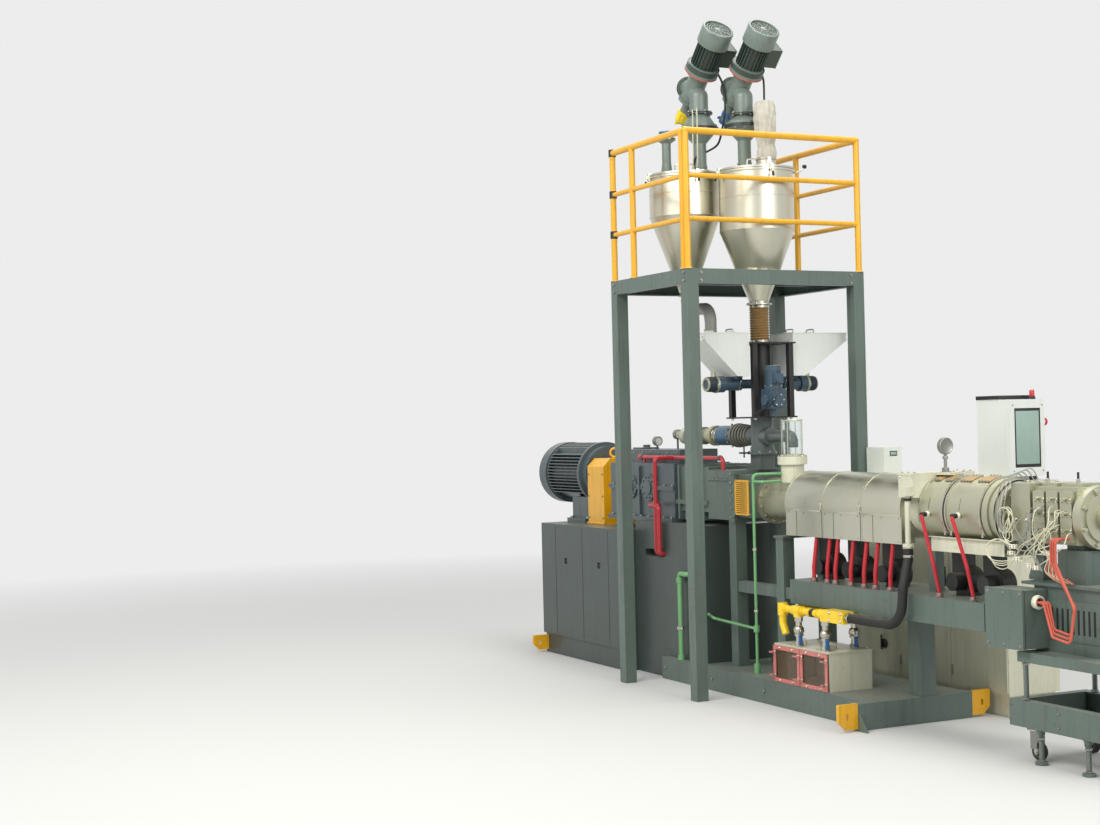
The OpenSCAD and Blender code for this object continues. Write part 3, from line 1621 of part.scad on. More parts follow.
// screw tubes and drives under the dosing hoppers
module dosing_drives() {
  tube_r = 40;
  z = 1943;
  start = 157;
  color([0.18, 0.20, 0.20])
    for (side = [-1, 1])
      translate([column_x, column_y, 0])
        rotate([0, 0, side > 0 ? 0 : 180]) {
          translate([0, start, z])
            rotate([-90, 0, 0])
              cylinder(h = 130, r = tube_r);
          rod([0, 62 + seat + 2, z], [0, start, z], 30);
          translate([0, start + 130, z])
            rotate([-90, 0, 0])
              cylinder(h = 70, r = 52);
          translate([0, start + 200, z])
            rotate([-90, 0, 0])
              cylinder(h = 50, r = 46);
          block([-45, 167, z + 30], [45, 250, dose_top - 272]);
          block([-30, 167, z + 20], [30, 230, z + 32]);
        }
}

// bent pipe from the small hopper's outlet to the aisle-side dosing hopper
module transfer_pipe() {
  r = 38;
  end_y = column_y - 330;
  out_z = small_out - 24;
  color([0.62, 0.64, 0.60])
    pipe_run([[small_x, small_y, out_z], [small_x, small_y, out_z - 85],
              [column_x - 60, end_y, 2430], [column_x - 60, end_y, dose_top + 5 + seat]], r, 90);
}

module control_cabinet() {
  x0 = 40;
  x1 = 1500;
  y0 = 500;
  y1 = 880;
  plinth = 120;
  top = 1330;
  doors = 3;
  gap = 6;
  door_w = (x1 - x0 - gap) / doors;
  color(pale_paint) {
    block([x0, y0 + 8, plinth], [x1, y1, top]);
    block([x0 + 20, y0 + 30, 0], [x1 - 20, y1 - 20, plinth]);
    for (i = [0 : doors - 1])
      block([x0 + gap + i * door_w, y0, plinth + 15], [x0 + (i + 1) * door_w, y0 + 8, top - 15]);
  }
}

// operator panel on a short neck, and the small instrument box beside it
module operator_panel() {
  x0 = 1225;
  x1 = 1495;
  y0 = 560;
  y1 = 820;
  z0 = 1355;
  z1 = 1792;
  cabinet_top = 1330;
  bezel = 30;
  color(white_paint) {
    block([x0 + 80, y0 + 70, cabinet_top], [x1 - 60, y1 - 70, z0]);
    difference() {
      block([x0, y0, z0], [x1, y1, z1]);
      block([x1 - 6, y0 + bezel + 10, z0 + bezel + 20], [x1 + 1, y1 - bezel, z1 - bezel - 20]);
    }
    block([x0 - 4, y0 - 4, z1], [x0 + 190, y1 + 4, z1 + 22]);
    block([x0 - 4, y0 - 4, z0 - 22], [x0 + 190, y1 + 4, z0]);
    rod([x1 - 40, y1, z1 - 130], [x1 - 40, y1 + 26, z1 - 130], 20);
    block([50, 640, cabinet_top], [230, 780, 1518]);
  }
}

skid_frame();
lifting_lugs();
support_frame();
drive_cabinet();
main_motor();
guards();
gearbox();
distribution_box();
oil_pipes();
barrel();
barrel_covers();
feed_collar();
sight_glass();
vent_box();
vent_hose();
band_heaters();
heater_trough();
cooling_blowers();
heater_leads();
adapter();
die_body();
die_ring();
die_console();
trolley_frame();
junction_box();
vacuum_tank();
tank_lid();
tank_windows();
tank_risers();
vacuum_manifold();
water_pipes();
platform_frame();
platform_deck();
rail_aisle();
rail_front();
rail_far();
large_hopper();
small_hopper();
hopper_lids();
loader_heads();
loader_motors();
filter_bag();
bellows();
feeder_frame();
feeder_drives();
metering_screw();
dosing_hoppers();
dosing_lids();
transfer_pipe();
control_cabinet();
operator_panel();
caster_fork(0);  // caster_fork_1
caster_fork(1);  // caster_fork_2
caster_fork(2);  // caster_fork_3
caster_fork(3);  // caster_fork_4
caster_wheel(0);  // caster_wheel_1
caster_wheel(1);  // caster_wheel_2
caster_wheel(2);  // caster_wheel_3
caster_wheel(3);  // caster_wheel_4
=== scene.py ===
import math
import random
from itertools import product

import bmesh
import bpy
from mathutils import Matrix, Vector


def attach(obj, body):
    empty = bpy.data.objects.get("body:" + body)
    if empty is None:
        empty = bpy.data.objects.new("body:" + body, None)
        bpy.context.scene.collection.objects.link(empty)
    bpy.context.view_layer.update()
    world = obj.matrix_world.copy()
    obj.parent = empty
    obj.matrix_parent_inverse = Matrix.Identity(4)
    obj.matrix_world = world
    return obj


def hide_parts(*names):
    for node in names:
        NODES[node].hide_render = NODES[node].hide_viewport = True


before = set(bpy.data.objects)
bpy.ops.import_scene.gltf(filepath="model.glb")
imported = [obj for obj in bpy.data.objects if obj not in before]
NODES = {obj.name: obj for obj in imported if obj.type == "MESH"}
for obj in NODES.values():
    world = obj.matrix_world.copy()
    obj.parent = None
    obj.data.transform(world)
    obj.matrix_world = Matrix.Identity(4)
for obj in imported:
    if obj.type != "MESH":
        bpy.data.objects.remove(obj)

bl_info = {
    "name": "Plastic extruder dressing",
    "version": (1, 0, 0),
    "blender": (4, 5, 0),
    "location": "View3D > Sidebar > Extruder",
    "description": "Finishes and small parts for the twin-screw extruder and its feeding platform",
    "category": "Object",
}

MACHINE = "machine"


def paint(red, green, blue):
    """A colour as read from a photograph, 0 to 255, made linear."""
    def linear(value):
        value /= 255.0
        return value / 12.92 if value <= 0.04045 else ((value + 0.055) / 1.055) ** 2.4
    return (linear(red), linear(green), linear(blue), 1.0)


def colour_property(label, default, about):
    return bpy.props.FloatVectorProperty(
        name=label, description=about, subtype="COLOR", size=4, min=0.0, max=1.0, default=default)


class ExtruderFinishes(bpy.types.PropertyGroup):
    """Colours of the machine's finishes."""

    structure: colour_property("Structure", paint(92, 108, 101), "Grey-green of skid and platform")
    cabinet: colour_property("Drive cabinet", paint(62, 73, 70), "Dark paint of the drive cabinet")
    gear: colour_property("Gearbox", paint(74, 88, 92), "Blue-grey of gearbox and main motor")
    yellow: colour_property("Safety yellow", paint(232, 172, 18), "Guards, lugs and handrails")
    manifold: colour_property("Manifold", paint(248, 208, 12), "Vacuum manifold")
    polished: colour_property("Stainless", paint(208, 206, 190), "Polished covers and hoppers")
    cast: colour_property("Cast aluminium", paint(186, 186, 166), "Heaters and adapter")
    pale: colour_property("Beige", paint(212, 212, 190), "Vent housing and cabinet")
    white: colour_property("Off-white", paint(224, 229, 224), "Dosing hoppers and panel")
    red: colour_property("Red", paint(186, 38, 48), "Oil pipes and cable sleeves")
    green: colour_property("Green", paint(112, 170, 114), "Water pipes")
    loader: colour_property("Loader", paint(112, 127, 120), "Conveyor heads")
    motor: colour_property("Loader motor", paint(56, 72, 66), "Finned loader motors")
    drive: colour_property("Drive blue", paint(56, 80, 98), "Feeder drives")
    bellows: colour_property("Sleeve", paint(166, 130, 72), "Tan sleeve under the hopper")
    cloth: colour_property("Filter cloth", paint(222, 220, 206), "Filter bag")
    black: colour_property("Black", paint(26, 27, 27), "Rubber and black paint")


class StageSettings(bpy.types.PropertyGroup):
    """Floor and lamps."""

    floor: colour_property("Floor", paint(204, 205, 203), "Colour of the plain floor")
    backdrop: colour_property("Backdrop", paint(236, 237, 236), "Colour behind the machine")
    lamp_height: bpy.props.FloatProperty(
        name="Lamp height", description="Height of the large lamps over the floor",
        default=7.5, min=5.0, max=12.0, unit="LENGTH")
    key_power: bpy.props.FloatProperty(name="Key power",
                                       description="Power of the lamp on the aisle side",
                                       default=620.0, min=50.0, max=4000.0)
    fill_power: bpy.props.FloatProperty(
        name="Fill power", description="Power of the lamp in front of the die", default=260.0,
        min=10.0, max=3000.0)


def new_group(name, inputs, outputs):
    """A shader node group with float or colour sockets, and its two end nodes."""
    group = bpy.data.node_groups.new(name, "ShaderNodeTree")
    for label, kind, default in inputs:
        socket = group.interface.new_socket(name=label, in_out="INPUT", socket_type=kind)
        socket.default_value = default
    for label, kind in outputs:
        group.interface.new_socket(name=label, in_out="OUTPUT", socket_type=kind)
    first = group.nodes.new("NodeGroupInput")
    last = group.nodes.new("NodeGroupOutput")
    return group, first, last


FLOAT = "NodeSocketFloat"
COLOR = "NodeSocketColor"


def preset(node, values):
    """Sets sockets of a node by their labels."""
    for label, value in values.items():
        node.inputs[label].default_value = value


def noise(tree, vector, scale, detail=3.0, rough=0.5):
    node = tree.nodes.new("ShaderNodeTexNoise")
    preset(node, {"Scale": scale, "Detail": detail, "Roughness": rough})
    tree.links.new(vector, node.inputs["Vector"])
    return node


def ramp(tree, value, low, high):
    """Maps low to high onto 0 to 1, clamped."""
    node = tree.nodes.new("ShaderNodeMapRange")
    preset(node, {"From Min": low, "From Max": high})
    tree.links.new(value, node.inputs["Value"])
    return node.outputs["Result"]


def sums(tree, kind, a, b):
    """A Math node of two sockets or numbers."""
    node = tree.nodes.new("ShaderNodeMath")
    node.operation = kind
    for place, value in enumerate((a, b)):
        if isinstance(value, (int, float)):
            node.inputs[place].default_value = value
        else:
            tree.links.new(value, node.inputs[place])
    return node.outputs[0]


def mix(tree, factor, a, b):
    """A colour mix; each of the three is a socket or a value."""
    node = tree.nodes.new("ShaderNodeMix")
    node.data_type = "RGBA"
    for place, value in ((0, factor), (6, a), (7, b)):
        if isinstance(value, (int, float, tuple)):
            node.inputs[place].default_value = value
        else:
            tree.links.new(value, node.inputs[place])
    return node.outputs[2]


def object_point(tree, stretch=(1.0, 1.0, 1.0)):
    """Object coordinates, stretched along the axes."""
    place = tree.nodes.new("ShaderNodeTexCoord")
    if stretch == (1.0, 1.0, 1.0):
        return place.outputs["Object"]
    mapping = tree.nodes.new("ShaderNodeMapping")
    mapping.inputs["Scale"].default_value = stretch
    tree.links.new(place.outputs["Object"], mapping.inputs["Vector"])
    return mapping.outputs["Vector"]


def make_paint_group():
    """Aged paint: clouded tone, settled dust on top faces, streaks and spots of dirt, fine orange
    peel.
    """
    group, first, last = new_group("Aged paint", [("Color", COLOR, (0.5, 0.5, 0.5, 1.0)),
                                                  ("Clouding", FLOAT, 0.25), ("Dust", FLOAT, 0.3),
                                                  ("Grime", FLOAT, 0.3), ("Gloss", FLOAT, 0.45)],
                                   [("Color", COLOR), ("Roughness", FLOAT), ("Height", FLOAT)])
    links = group.links
    spot = object_point(group)
    cloud = noise(group, spot, 2.6, 5.0, 0.6)
    fine = noise(group, spot, 34.0, 4.0, 0.62)
    peel = noise(group, spot, 420.0, 1.0, 0.4)
    streak = noise(group, object_point(group, (9.0, 9.0, 0.7)), 3.0, 4.0, 0.65)
    dark = mix(group, 1.0, first.outputs["Color"], (0.62, 0.60, 0.56, 1.0))
    dark.node.blend_type = "MULTIPLY"
    cloud_mask = sums(group, "MULTIPLY", ramp(group, cloud.outputs["Fac"], 0.38, 0.68),
                      first.outputs["Clouding"])
    toned = mix(group, cloud_mask, first.outputs["Color"], dark)
    streak_mask = sums(group, "MULTIPLY", ramp(group, streak.outputs["Fac"], 0.50, 0.74),
                       first.outputs["Grime"])
    spots = sums(group, "MULTIPLY", ramp(group, fine.outputs["Fac"], 0.60, 0.74),
                 first.outputs["Grime"])
    grime = sums(group, "MAXIMUM", streak_mask, spots)
    grimy = mix(group, grime, toned, (0.050, 0.044, 0.036, 1.0))
    geometry = group.nodes.new("ShaderNodeNewGeometry")
    split = group.nodes.new("ShaderNodeSeparateXYZ")
    links.new(geometry.outputs["Normal"], split.inputs["Vector"])
    up = ramp(group, split.outputs["Z"], 0.55, 0.95)
    settled = sums(group, "MULTIPLY", up, ramp(group, cloud.outputs["Fac"], 0.30, 0.62))
    dusty = sums(group, "MULTIPLY", settled, first.outputs["Dust"])
    final = mix(group, dusty, grimy, (0.40, 0.37, 0.31, 1.0))
    links.new(final, last.inputs["Color"])
    rough = sums(group, "ADD", first.outputs["Gloss"], sums(group, "MULTIPLY", grime, 0.35))
    rough = sums(group, "ADD", rough, sums(group, "MULTIPLY", dusty, 0.4))
    rough = sums(group, "ADD", rough, sums(group, "MULTIPLY", fine.outputs["Fac"], 0.10))
    links.new(rough, last.inputs["Roughness"])
    height = sums(group, "ADD", sums(group, "MULTIPLY", peel.outputs["Fac"], 0.5),
                  sums(group, "MULTIPLY", fine.outputs["Fac"], 0.5))
    links.new(height, last.inputs["Height"])
    return group


def make_metal_group():
    """Bare metal: grain stretched along one axis, smears and small dents."""
    group, first, last = new_group(
        "Worked metal",
        [("Color", COLOR, (0.6, 0.6, 0.6, 1.0)), ("Smear", FLOAT, 0.25), ("Gloss", FLOAT, 0.25),
         ("Grain", FLOAT, 0.3)],
        [("Color", COLOR), ("Roughness", FLOAT), ("Height", FLOAT)])
    links = group.links
    grain = noise(group, object_point(group, (3.0, 160.0, 160.0)), 3.0, 3.0, 0.6)
    smear = noise(group, object_point(group), 4.5, 5.0, 0.62)
    pits = noise(group, object_point(group), 90.0, 2.0, 0.5)
    dark = mix(group, 1.0, first.outputs["Color"], (0.72, 0.70, 0.64, 1.0))
    dark.node.blend_type = "MULTIPLY"
    mask = sums(group, "MULTIPLY", ramp(group, smear.outputs["Fac"], 0.42, 0.72),
                first.outputs["Smear"])
    links.new(mix(group, mask, first.outputs["Color"], dark), last.inputs["Color"])
    rough = sums(group, "ADD", first.outputs["Gloss"], sums(group, "MULTIPLY", mask, 0.5))
    worn = sums(group, "MULTIPLY", grain.outputs["Fac"], first.outputs["Grain"])
    rough = sums(group, "ADD", rough, sums(group, "MULTIPLY", worn, 0.3))
    links.new(rough, last.inputs["Roughness"])
    height = sums(group, "ADD", worn, sums(group, "MULTIPLY", pits.outputs["Fac"], 0.25))
    links.new(height, last.inputs["Height"])
    return group


def new_material(name):
    """A material with an empty Principled surface, and the shader."""
    material = bpy.data.materials.new(name)
    material.use_nodes = True
    return material, material.node_tree, material.node_tree.nodes["Principled BSDF"]


def bump(tree, height, shader, strength, distance):
    node = tree.nodes.new("ShaderNodeBump")
    preset(node, {"Strength": strength, "Distance": distance})
    tree.links.new(height, node.inputs["Height"])
    tree.links.new(node.outputs["Normal"], shader.inputs["Normal"])
    return node


def painted(name, color, clouding=0.3, dust=0.3, grime=0.3, gloss=0.36, coat=0.15, metallic=0.0,
            relief=0.10):
    material, tree, shader = new_material(name)
    aged = tree.nodes.new("ShaderNodeGroup")
    aged.node_tree = GROUPS["paint"]
    preset(aged, {"Color": tuple(color), "Clouding": clouding, "Dust": dust, "Grime": grime,
                  "Gloss": gloss})
    tree.links.new(aged.outputs["Color"], shader.inputs["Base Color"])
    tree.links.new(aged.outputs["Roughness"], shader.inputs["Roughness"])
    preset(shader, {"Metallic": metallic, "Coat Weight": coat, "Coat Roughness": 0.18})
    bump(tree, aged.outputs["Height"], shader, relief, 0.002)
    return material


def metal(name, color, smear=0.3, gloss=0.22, grain=0.4, relief=0.08):
    material, tree, shader = new_material(name)
    worked = tree.nodes.new("ShaderNodeGroup")
    worked.node_tree = GROUPS["metal"]
    preset(worked, {"Color": tuple(color), "Smear": smear, "Gloss": gloss, "Grain": grain})
    tree.links.new(worked.outputs["Color"], shader.inputs["Base Color"])
    tree.links.new(worked.outputs["Roughness"], shader.inputs["Roughness"])
    shader.inputs["Metallic"].default_value = 1.0
    bump(tree, worked.outputs["Height"], shader, relief, 0.001)
    return material


def clear(name, color, rough=0.04):
    """Clear plastic: glass with a faint film of dust in its roughness."""
    material, tree, shader = new_material(name)
    preset(shader, {"Base Color": color, "Transmission Weight": 1.0, "IOR": 1.35})
    film = noise(tree, object_point(tree), 24.0, 4.0, 0.6)
    tree.links.new(sums(tree, "ADD", sums(tree, "MULTIPLY", film.outputs["Fac"], 0.12), rough),
                   shader.inputs["Roughness"])
    return material


def banded(name, bands, base, **options):
    """Aged paint whose colour changes along the machine: (x from, x to, colour) bands."""
    material = painted(name, base, **options)
    tree = material.node_tree
    aged = next(node for node in tree.nodes if node.type == "GROUP")
    split = tree.nodes.new("ShaderNodeSeparateXYZ")
    tree.links.new(object_point(tree), split.inputs["Vector"])
    color = tuple(base)
    for low, high, tone in bands:
        inside = sums(tree, "MULTIPLY", sums(tree, "GREATER_THAN", split.outputs["X"], low),
                      sums(tree, "LESS_THAN", split.outputs["X"], high))
        color = mix(tree, inside, color, tuple(tone))
    tree.links.new(color, aged.inputs["Color"])
    return material


def windowed(name, color):
    """Moulded window frames: paint in front, clear plastic where the pane lies behind them."""
    material = painted(name, color, clouding=0.2, dust=0.1, grime=0.15, gloss=0.3, coat=0.3)
    tree = material.node_tree
    split = tree.nodes.new("ShaderNodeSeparateXYZ")
    tree.links.new(object_point(tree), split.inputs["Vector"])
    behind = sums(tree, "GREATER_THAN", split.outputs["Y"], -0.3316)
    pane = tree.nodes.new("ShaderNodeBsdfPrincipled")
    preset(pane, {"Base Color": (0.86, 0.74, 0.70, 1.0), "Roughness": 0.06,
                  "Transmission Weight": 1.0, "IOR": 1.3})
    blend = tree.nodes.new("ShaderNodeMixShader")
    tree.links.new(behind, blend.inputs["Fac"])
    tree.links.new(tree.nodes["Principled BSDF"].outputs["BSDF"], blend.inputs[1])
    tree.links.new(pane.outputs["BSDF"], blend.inputs[2])
    tree.links.new(blend.outputs["Shader"], tree.nodes["Material Output"].inputs["Surface"])
    return material


def film(name, color):
    """Thin translucent cloth."""
    material, tree, shader = new_material(name)
    cloud = noise(tree, object_point(tree), 11.0, 5.0, 0.6)
    dark = tuple(0.72 * c for c in color[:3]) + (1.0,)
    tree.links.new(mix(tree, ramp(tree, cloud.outputs["Fac"], 0.4, 0.7), tuple(color), dark),
                   shader.inputs["Base Color"])
    preset(shader, {"Roughness": 0.7, "Sheen Weight": 0.2, "Alpha": 0.52})
    weave = noise(tree, object_point(tree), 500.0, 2.0, 0.5)
    bump(tree, weave.outputs["Fac"], shader, 0.2, 0.0006)
    return material


def woven(name, color, scale=260.0, relief=0.35):
    """Cloth: two crossed waves over a clouded tone."""
    material, tree, shader = new_material(name)
    point = object_point(tree)
    threads = []
    for direction in ("X", "Z"):
        wave = tree.nodes.new("ShaderNodeTexWave")
        wave.bands_direction = direction
        preset(wave, {"Scale": scale, "Distortion": 0.6, "Detail Scale": 3.0})
        tree.links.new(point, wave.inputs["Vector"])
        threads.append(wave.outputs["Fac"])
    weave = sums(tree, "MULTIPLY", threads[0], threads[1])
    cloud = noise(tree, point, 7.0, 5.0, 0.65)
    dark = tuple(0.55 * c for c in color[:3]) + (1.0,)
    toned = mix(tree, ramp(tree, cloud.outputs["Fac"], 0.36, 0.72), tuple(color), dark)
    dim = sums(tree, "MULTIPLY", weave, 0.22)
    tree.links.new(mix(tree, dim, toned, dark), shader.inputs["Base Color"])
    preset(shader, {"Roughness": 0.86, "Sheen Weight": 0.25})
    bump(tree, weave, shader, relief, 0.001)
    return material


MM = 0.001
AXIS_Z = 1200


def piece(name, bm, finish, body=MACHINE, smooth=40.0):
    """Turns a bmesh drawn in millimetres into an object that rides on a body."""
    bmesh.ops.remove_doubles(bm, verts=bm.verts, dist=0.02)
    bmesh.ops.dissolve_degenerate(bm, edges=bm.edges, dist=0.01)
    bmesh.ops.recalc_face_normals(bm, faces=bm.faces)
    bmesh.ops.scale(bm, vec=(MM, MM, MM), verts=bm.verts)
    limit = math.radians(smooth)
    for edge in bm.edges:
        edge.smooth = len(edge.link_faces) == 2 and edge.calc_face_angle(0.0) < limit
    for face in bm.faces:
        face.smooth = True
    mesh = bpy.data.meshes.new(name)
    bm.to_mesh(mesh)
    bm.free()
    mesh.materials.append(FINISH[finish])
    thing = bpy.data.objects.new(name, mesh)
    bpy.context.scene.collection.objects.link(thing)
    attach(thing, body)
    return thing


def along(start, end):
    """A frame at start whose Z axis runs towards end."""
    start, end = Vector(start), Vector(end)
    turn = (end - start).to_track_quat("Z", "Y").to_matrix().to_4x4()
    return Matrix.Translation(start) @ turn


def box_in(bm, low, high, bevel=1.5, frame_here=None):
    """A box with rounded edges between two corners, in a frame if one is given."""
    low, high = Vector(low), Vector(high)
    place = Matrix.Translation((low + high) / 2) @ Matrix.Diagonal((*(high - low), 1.0))
    if frame_here is not None:
        place = frame_here @ place
    made = bmesh.ops.create_cube(bm, size=1.0, matrix=place)
    edges = list({edge for vert in made["verts"] for edge in vert.link_edges})
    bmesh.ops.bevel(bm, geom=edges, offset=bevel, offset_type="OFFSET", segments=2, profile=0.5,
                    affect="EDGES", material=-1)


def revolve_in(bm, profile, place, steps=28):
    """Spins (radius, height) pairs a full turn round the Z axis of a frame."""
    verts = [bm.verts.new(place @ Vector((radius, 0.0, height))) for radius, height in profile]
    edges = [bm.edges.new(pair) for pair in zip(verts, verts[1:])]
    bmesh.ops.spin(bm, geom=verts + edges, cent=place.translation,
                   axis=place.to_3x3() @ Vector((0.0, 0.0, 1.0)), angle=2.0 * math.pi,
                   steps=steps, use_merge=True)


def bar_in(bm, start, end, radius, steps=16, ease=1.0):
    """A round bar with eased ends."""
    length = (Vector(end) - Vector(start)).length
    ease = min(ease, radius * 0.5, length * 0.3)
    revolve_in(bm, [(0.0, 0.0), (radius - ease, 0.0), (radius, ease), (radius, length - ease),
                    (radius - ease, length), (0.0, length)], along(start, end), steps)


def ring_in(bm, place, inner, outer, low, high, steps=32, ease=1.0):
    """A band round the Z axis of a frame, with eased corners."""
    revolve_in(bm, [(inner, low), (outer - ease, low), (outer, low + ease), (outer, high - ease),
                    (outer - ease, high), (inner, high), (inner, low)], place, steps)


def hex_in(bm, place, radius, height, washer=1.35):
    """A hexagon head on its washer, standing on the frame's origin."""
    if washer:
        revolve_in(bm, [(0.0, 0.0), (radius * washer, 0.0), (radius * washer, height * 0.22),
                        (0.0, height * 0.22)], place, 16)
    revolve_in(bm, [(0.0, height * 0.2), (radius, height * 0.2), (radius, height * 0.85),
                    (radius * 0.82, height), (0.0, height)], place, 6)


def bolts_in(bm, place, circle, count, radius, height, phase=0.0):
    """Hexagon heads on a circle round the Z axis of a frame."""
    for number in range(count):
        turn = Matrix.Rotation(phase + 2.0 * math.pi * number / count, 4, "Z")
        hex_in(bm, place @ turn @ Matrix.Translation((circle, 0.0, 0.0)), radius, height)


def smooth_path(points, steps):
    """A curve through the points."""
    points = [Vector(point) for point in points]
    points = [2 * points[0] - points[1]] + points + [2 * points[-1] - points[-2]]
    path = []
    for a, b, c, d in zip(points, points[1:], points[2:], points[3:]):
        for number in range(steps):
            t = number / steps
            path.append(0.5 * (2 * b + (c - a) * t + (2 * a - 5 * b + 4 * c - d) * t * t
                               + (3 * b - a - 3 * c + d) * t ** 3))
    path.append(points[-2])
    return path


def tube_in(bm, points, radius, sides=8, steps=6):
    """A cable along a curve through the points, closed at both ends."""
    path = smooth_path(points, steps)
    normal = (path[1] - path[0]).orthogonal().normalized()
    rings = []
    for number, point in enumerate(path):
        tangent = path[min(number + 1, len(path) - 1)] - path[max(number - 1, 0)]
        tangent.normalize()
        normal = (normal - tangent * normal.dot(tangent)).normalized()
        side = tangent.cross(normal)
        rings.append([bm.verts.new(point + radius * (math.cos(turn) * normal
                                                     + math.sin(turn) * side))
                      for turn in (2.0 * math.pi * k / sides for k in range(sides))])
    for first, second in zip(rings, rings[1:]):
        for k in range(sides):
            bm.faces.new((first[k], first[(k + 1) % sides], second[(k + 1) % sides], second[k]))
    bm.faces.new(list(reversed(rings[0])))
    bm.faces.new(rings[-1])


def grip_in(bm, foot_a, foot_b, rise, radius):
    """A bent wire handle between two feet."""
    foot_a, foot_b, rise = Vector(foot_a), Vector(foot_b), Vector(rise)
    span = (foot_b - foot_a) * 0.12
    tube_in(bm, [foot_a, foot_a + rise * 0.75, foot_a + rise + span,
                 foot_b + rise - span, foot_b + rise * 0.75, foot_b], radius, 8, 5)


def arc_in(bm, x0, x1, radius, start, end, thick):
    """A curved plate round the barrel axis; angles in degrees from the top to the far side."""
    count = 8
    loops = []
    for number in range(count + 1):
        turn = math.radians(start + (end - start) * number / count)
        loops.append([bm.verts.new((x, r * math.sin(turn), AXIS_Z + r * math.cos(turn)))
                      for x, r in ((x0, radius), (x1, radius), (x1, radius + thick),
                                   (x0, radius + thick))])
    for first, second in zip(loops, loops[1:]):
        for k in range(4):
            bm.faces.new((first[k], first[(k + 1) % 4], second[(k + 1) % 4], second[k]))
    bm.faces.new(loops[0])
    bm.faces.new(list(reversed(loops[-1])))


def facing(point, axis):
    """A frame at a point whose Z axis looks along a direction."""
    return along(point, Vector(point) + Vector(axis))


def at(x, y, z):
    """An upright frame at a point."""
    return Matrix.Translation((x, y, z))


def spun(angle):
    """A turn round the Z axis, in radians."""
    return Matrix.Rotation(angle, 4, "Z")


def head_in(bm, point, axis, radius, height, washer=1.35):
    """A hexagon head at a point, looking along a direction."""
    hex_in(bm, facing(point, axis), radius, height, washer)


def heads_in(bm, place, axis, radius, height, washer=1.35):
    """Heads at every mix of the X, Y and Z values, each one number or a tuple of them."""
    for point in product(*(v if isinstance(v, tuple) else (v,) for v in place)):
        head_in(bm, point, axis, radius, height, washer)


def spokes_in(bm, hub, count, inner, outer, level, radius, sides):
    """Bars that run out from an axis, evenly round it."""
    for number in range(count):
        turn = hub @ spun(2 * math.pi * number / count)
        bar_in(bm, turn @ Vector((inner, 0, level)), turn @ Vector((outer, 0, level)),
               radius, sides)


def thread_in(bm, x, y, low, high):
    """The ridges of a jack screw's thread, between two heights."""
    for z in range(low, high, 7):
        ring_in(bm, at(x, y, 0), 11, 13.2, z, z + 3.5, 16, 0.6)


def fresh(count):
    """New empty meshes, one for each finish that an operator fills."""
    return [bmesh.new() for _ in range(count)]


UP = (0.0, 0.0, 1.0)
DOWN = (0.0, 0.0, -1.0)
AISLE = (0.0, -1.0, 0.0)
FAR = (0.0, 1.0, 0.0)
AHEAD = (1.0, 0.0, 0.0)
BEHIND = (-1.0, 0.0, 0.0)
OVER = Matrix.Rotation(math.pi, 4, "X")


GROUPS = {}
FINISH = {}

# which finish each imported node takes
NODE_FINISH = {
    "skid_frame": "structure", "support_frame": "structure", "distribution_box": "structure",
    "trolley_frame": "structure", "junction_box": "structure", "die_console": "structure",
    "platform_frame": "structure", "platform_deck": "structure",
    "lifting_lugs": "yellow", "guards": "yellow", "rail_aisle": "yellow", "rail_front": "yellow",
    "rail_far": "yellow", "drive_cabinet": "cabinet", "main_motor": "gear", "gearbox": "gear",
    "oil_pipes": "red paint", "barrel": "cast", "barrel_covers": "polished", "feed_collar": "pale",
    "sight_glass": "glass", "vent_box": "pale", "vent_hose": "rubber", "band_heaters": "cast",
    "heater_trough": "pale", "cooling_blowers": "black paint", "heater_leads": "red sleeve",
    "adapter": "cast", "die_body": "cast", "die_ring": "cast", "vacuum_tank": "pale",
    "tank_lid": "pale", "tank_windows": "window", "tank_risers": "nickel",
    "vacuum_manifold": "manifold", "water_pipes": "green", "large_hopper": "polished",
    "small_hopper": "polished", "hopper_lids": "polished", "loader_heads": "loader",
    "loader_motors": "loader motor", "filter_bag": "cloth", "bellows": "bellows",
    "feeder_frame": "black paint", "feeder_drives": "drive", "metering_screw": "feeder",
    "dosing_hoppers": "white", "dosing_lids": "white", "transfer_pipe": "grey plastic",
    "control_cabinet": "pale", "operator_panel": "white",
}
for number in range(1, 5):
    NODE_FINISH["caster_fork_%d" % number] = "zinc"
    NODE_FINISH["caster_wheel_%d" % number] = "rubber"


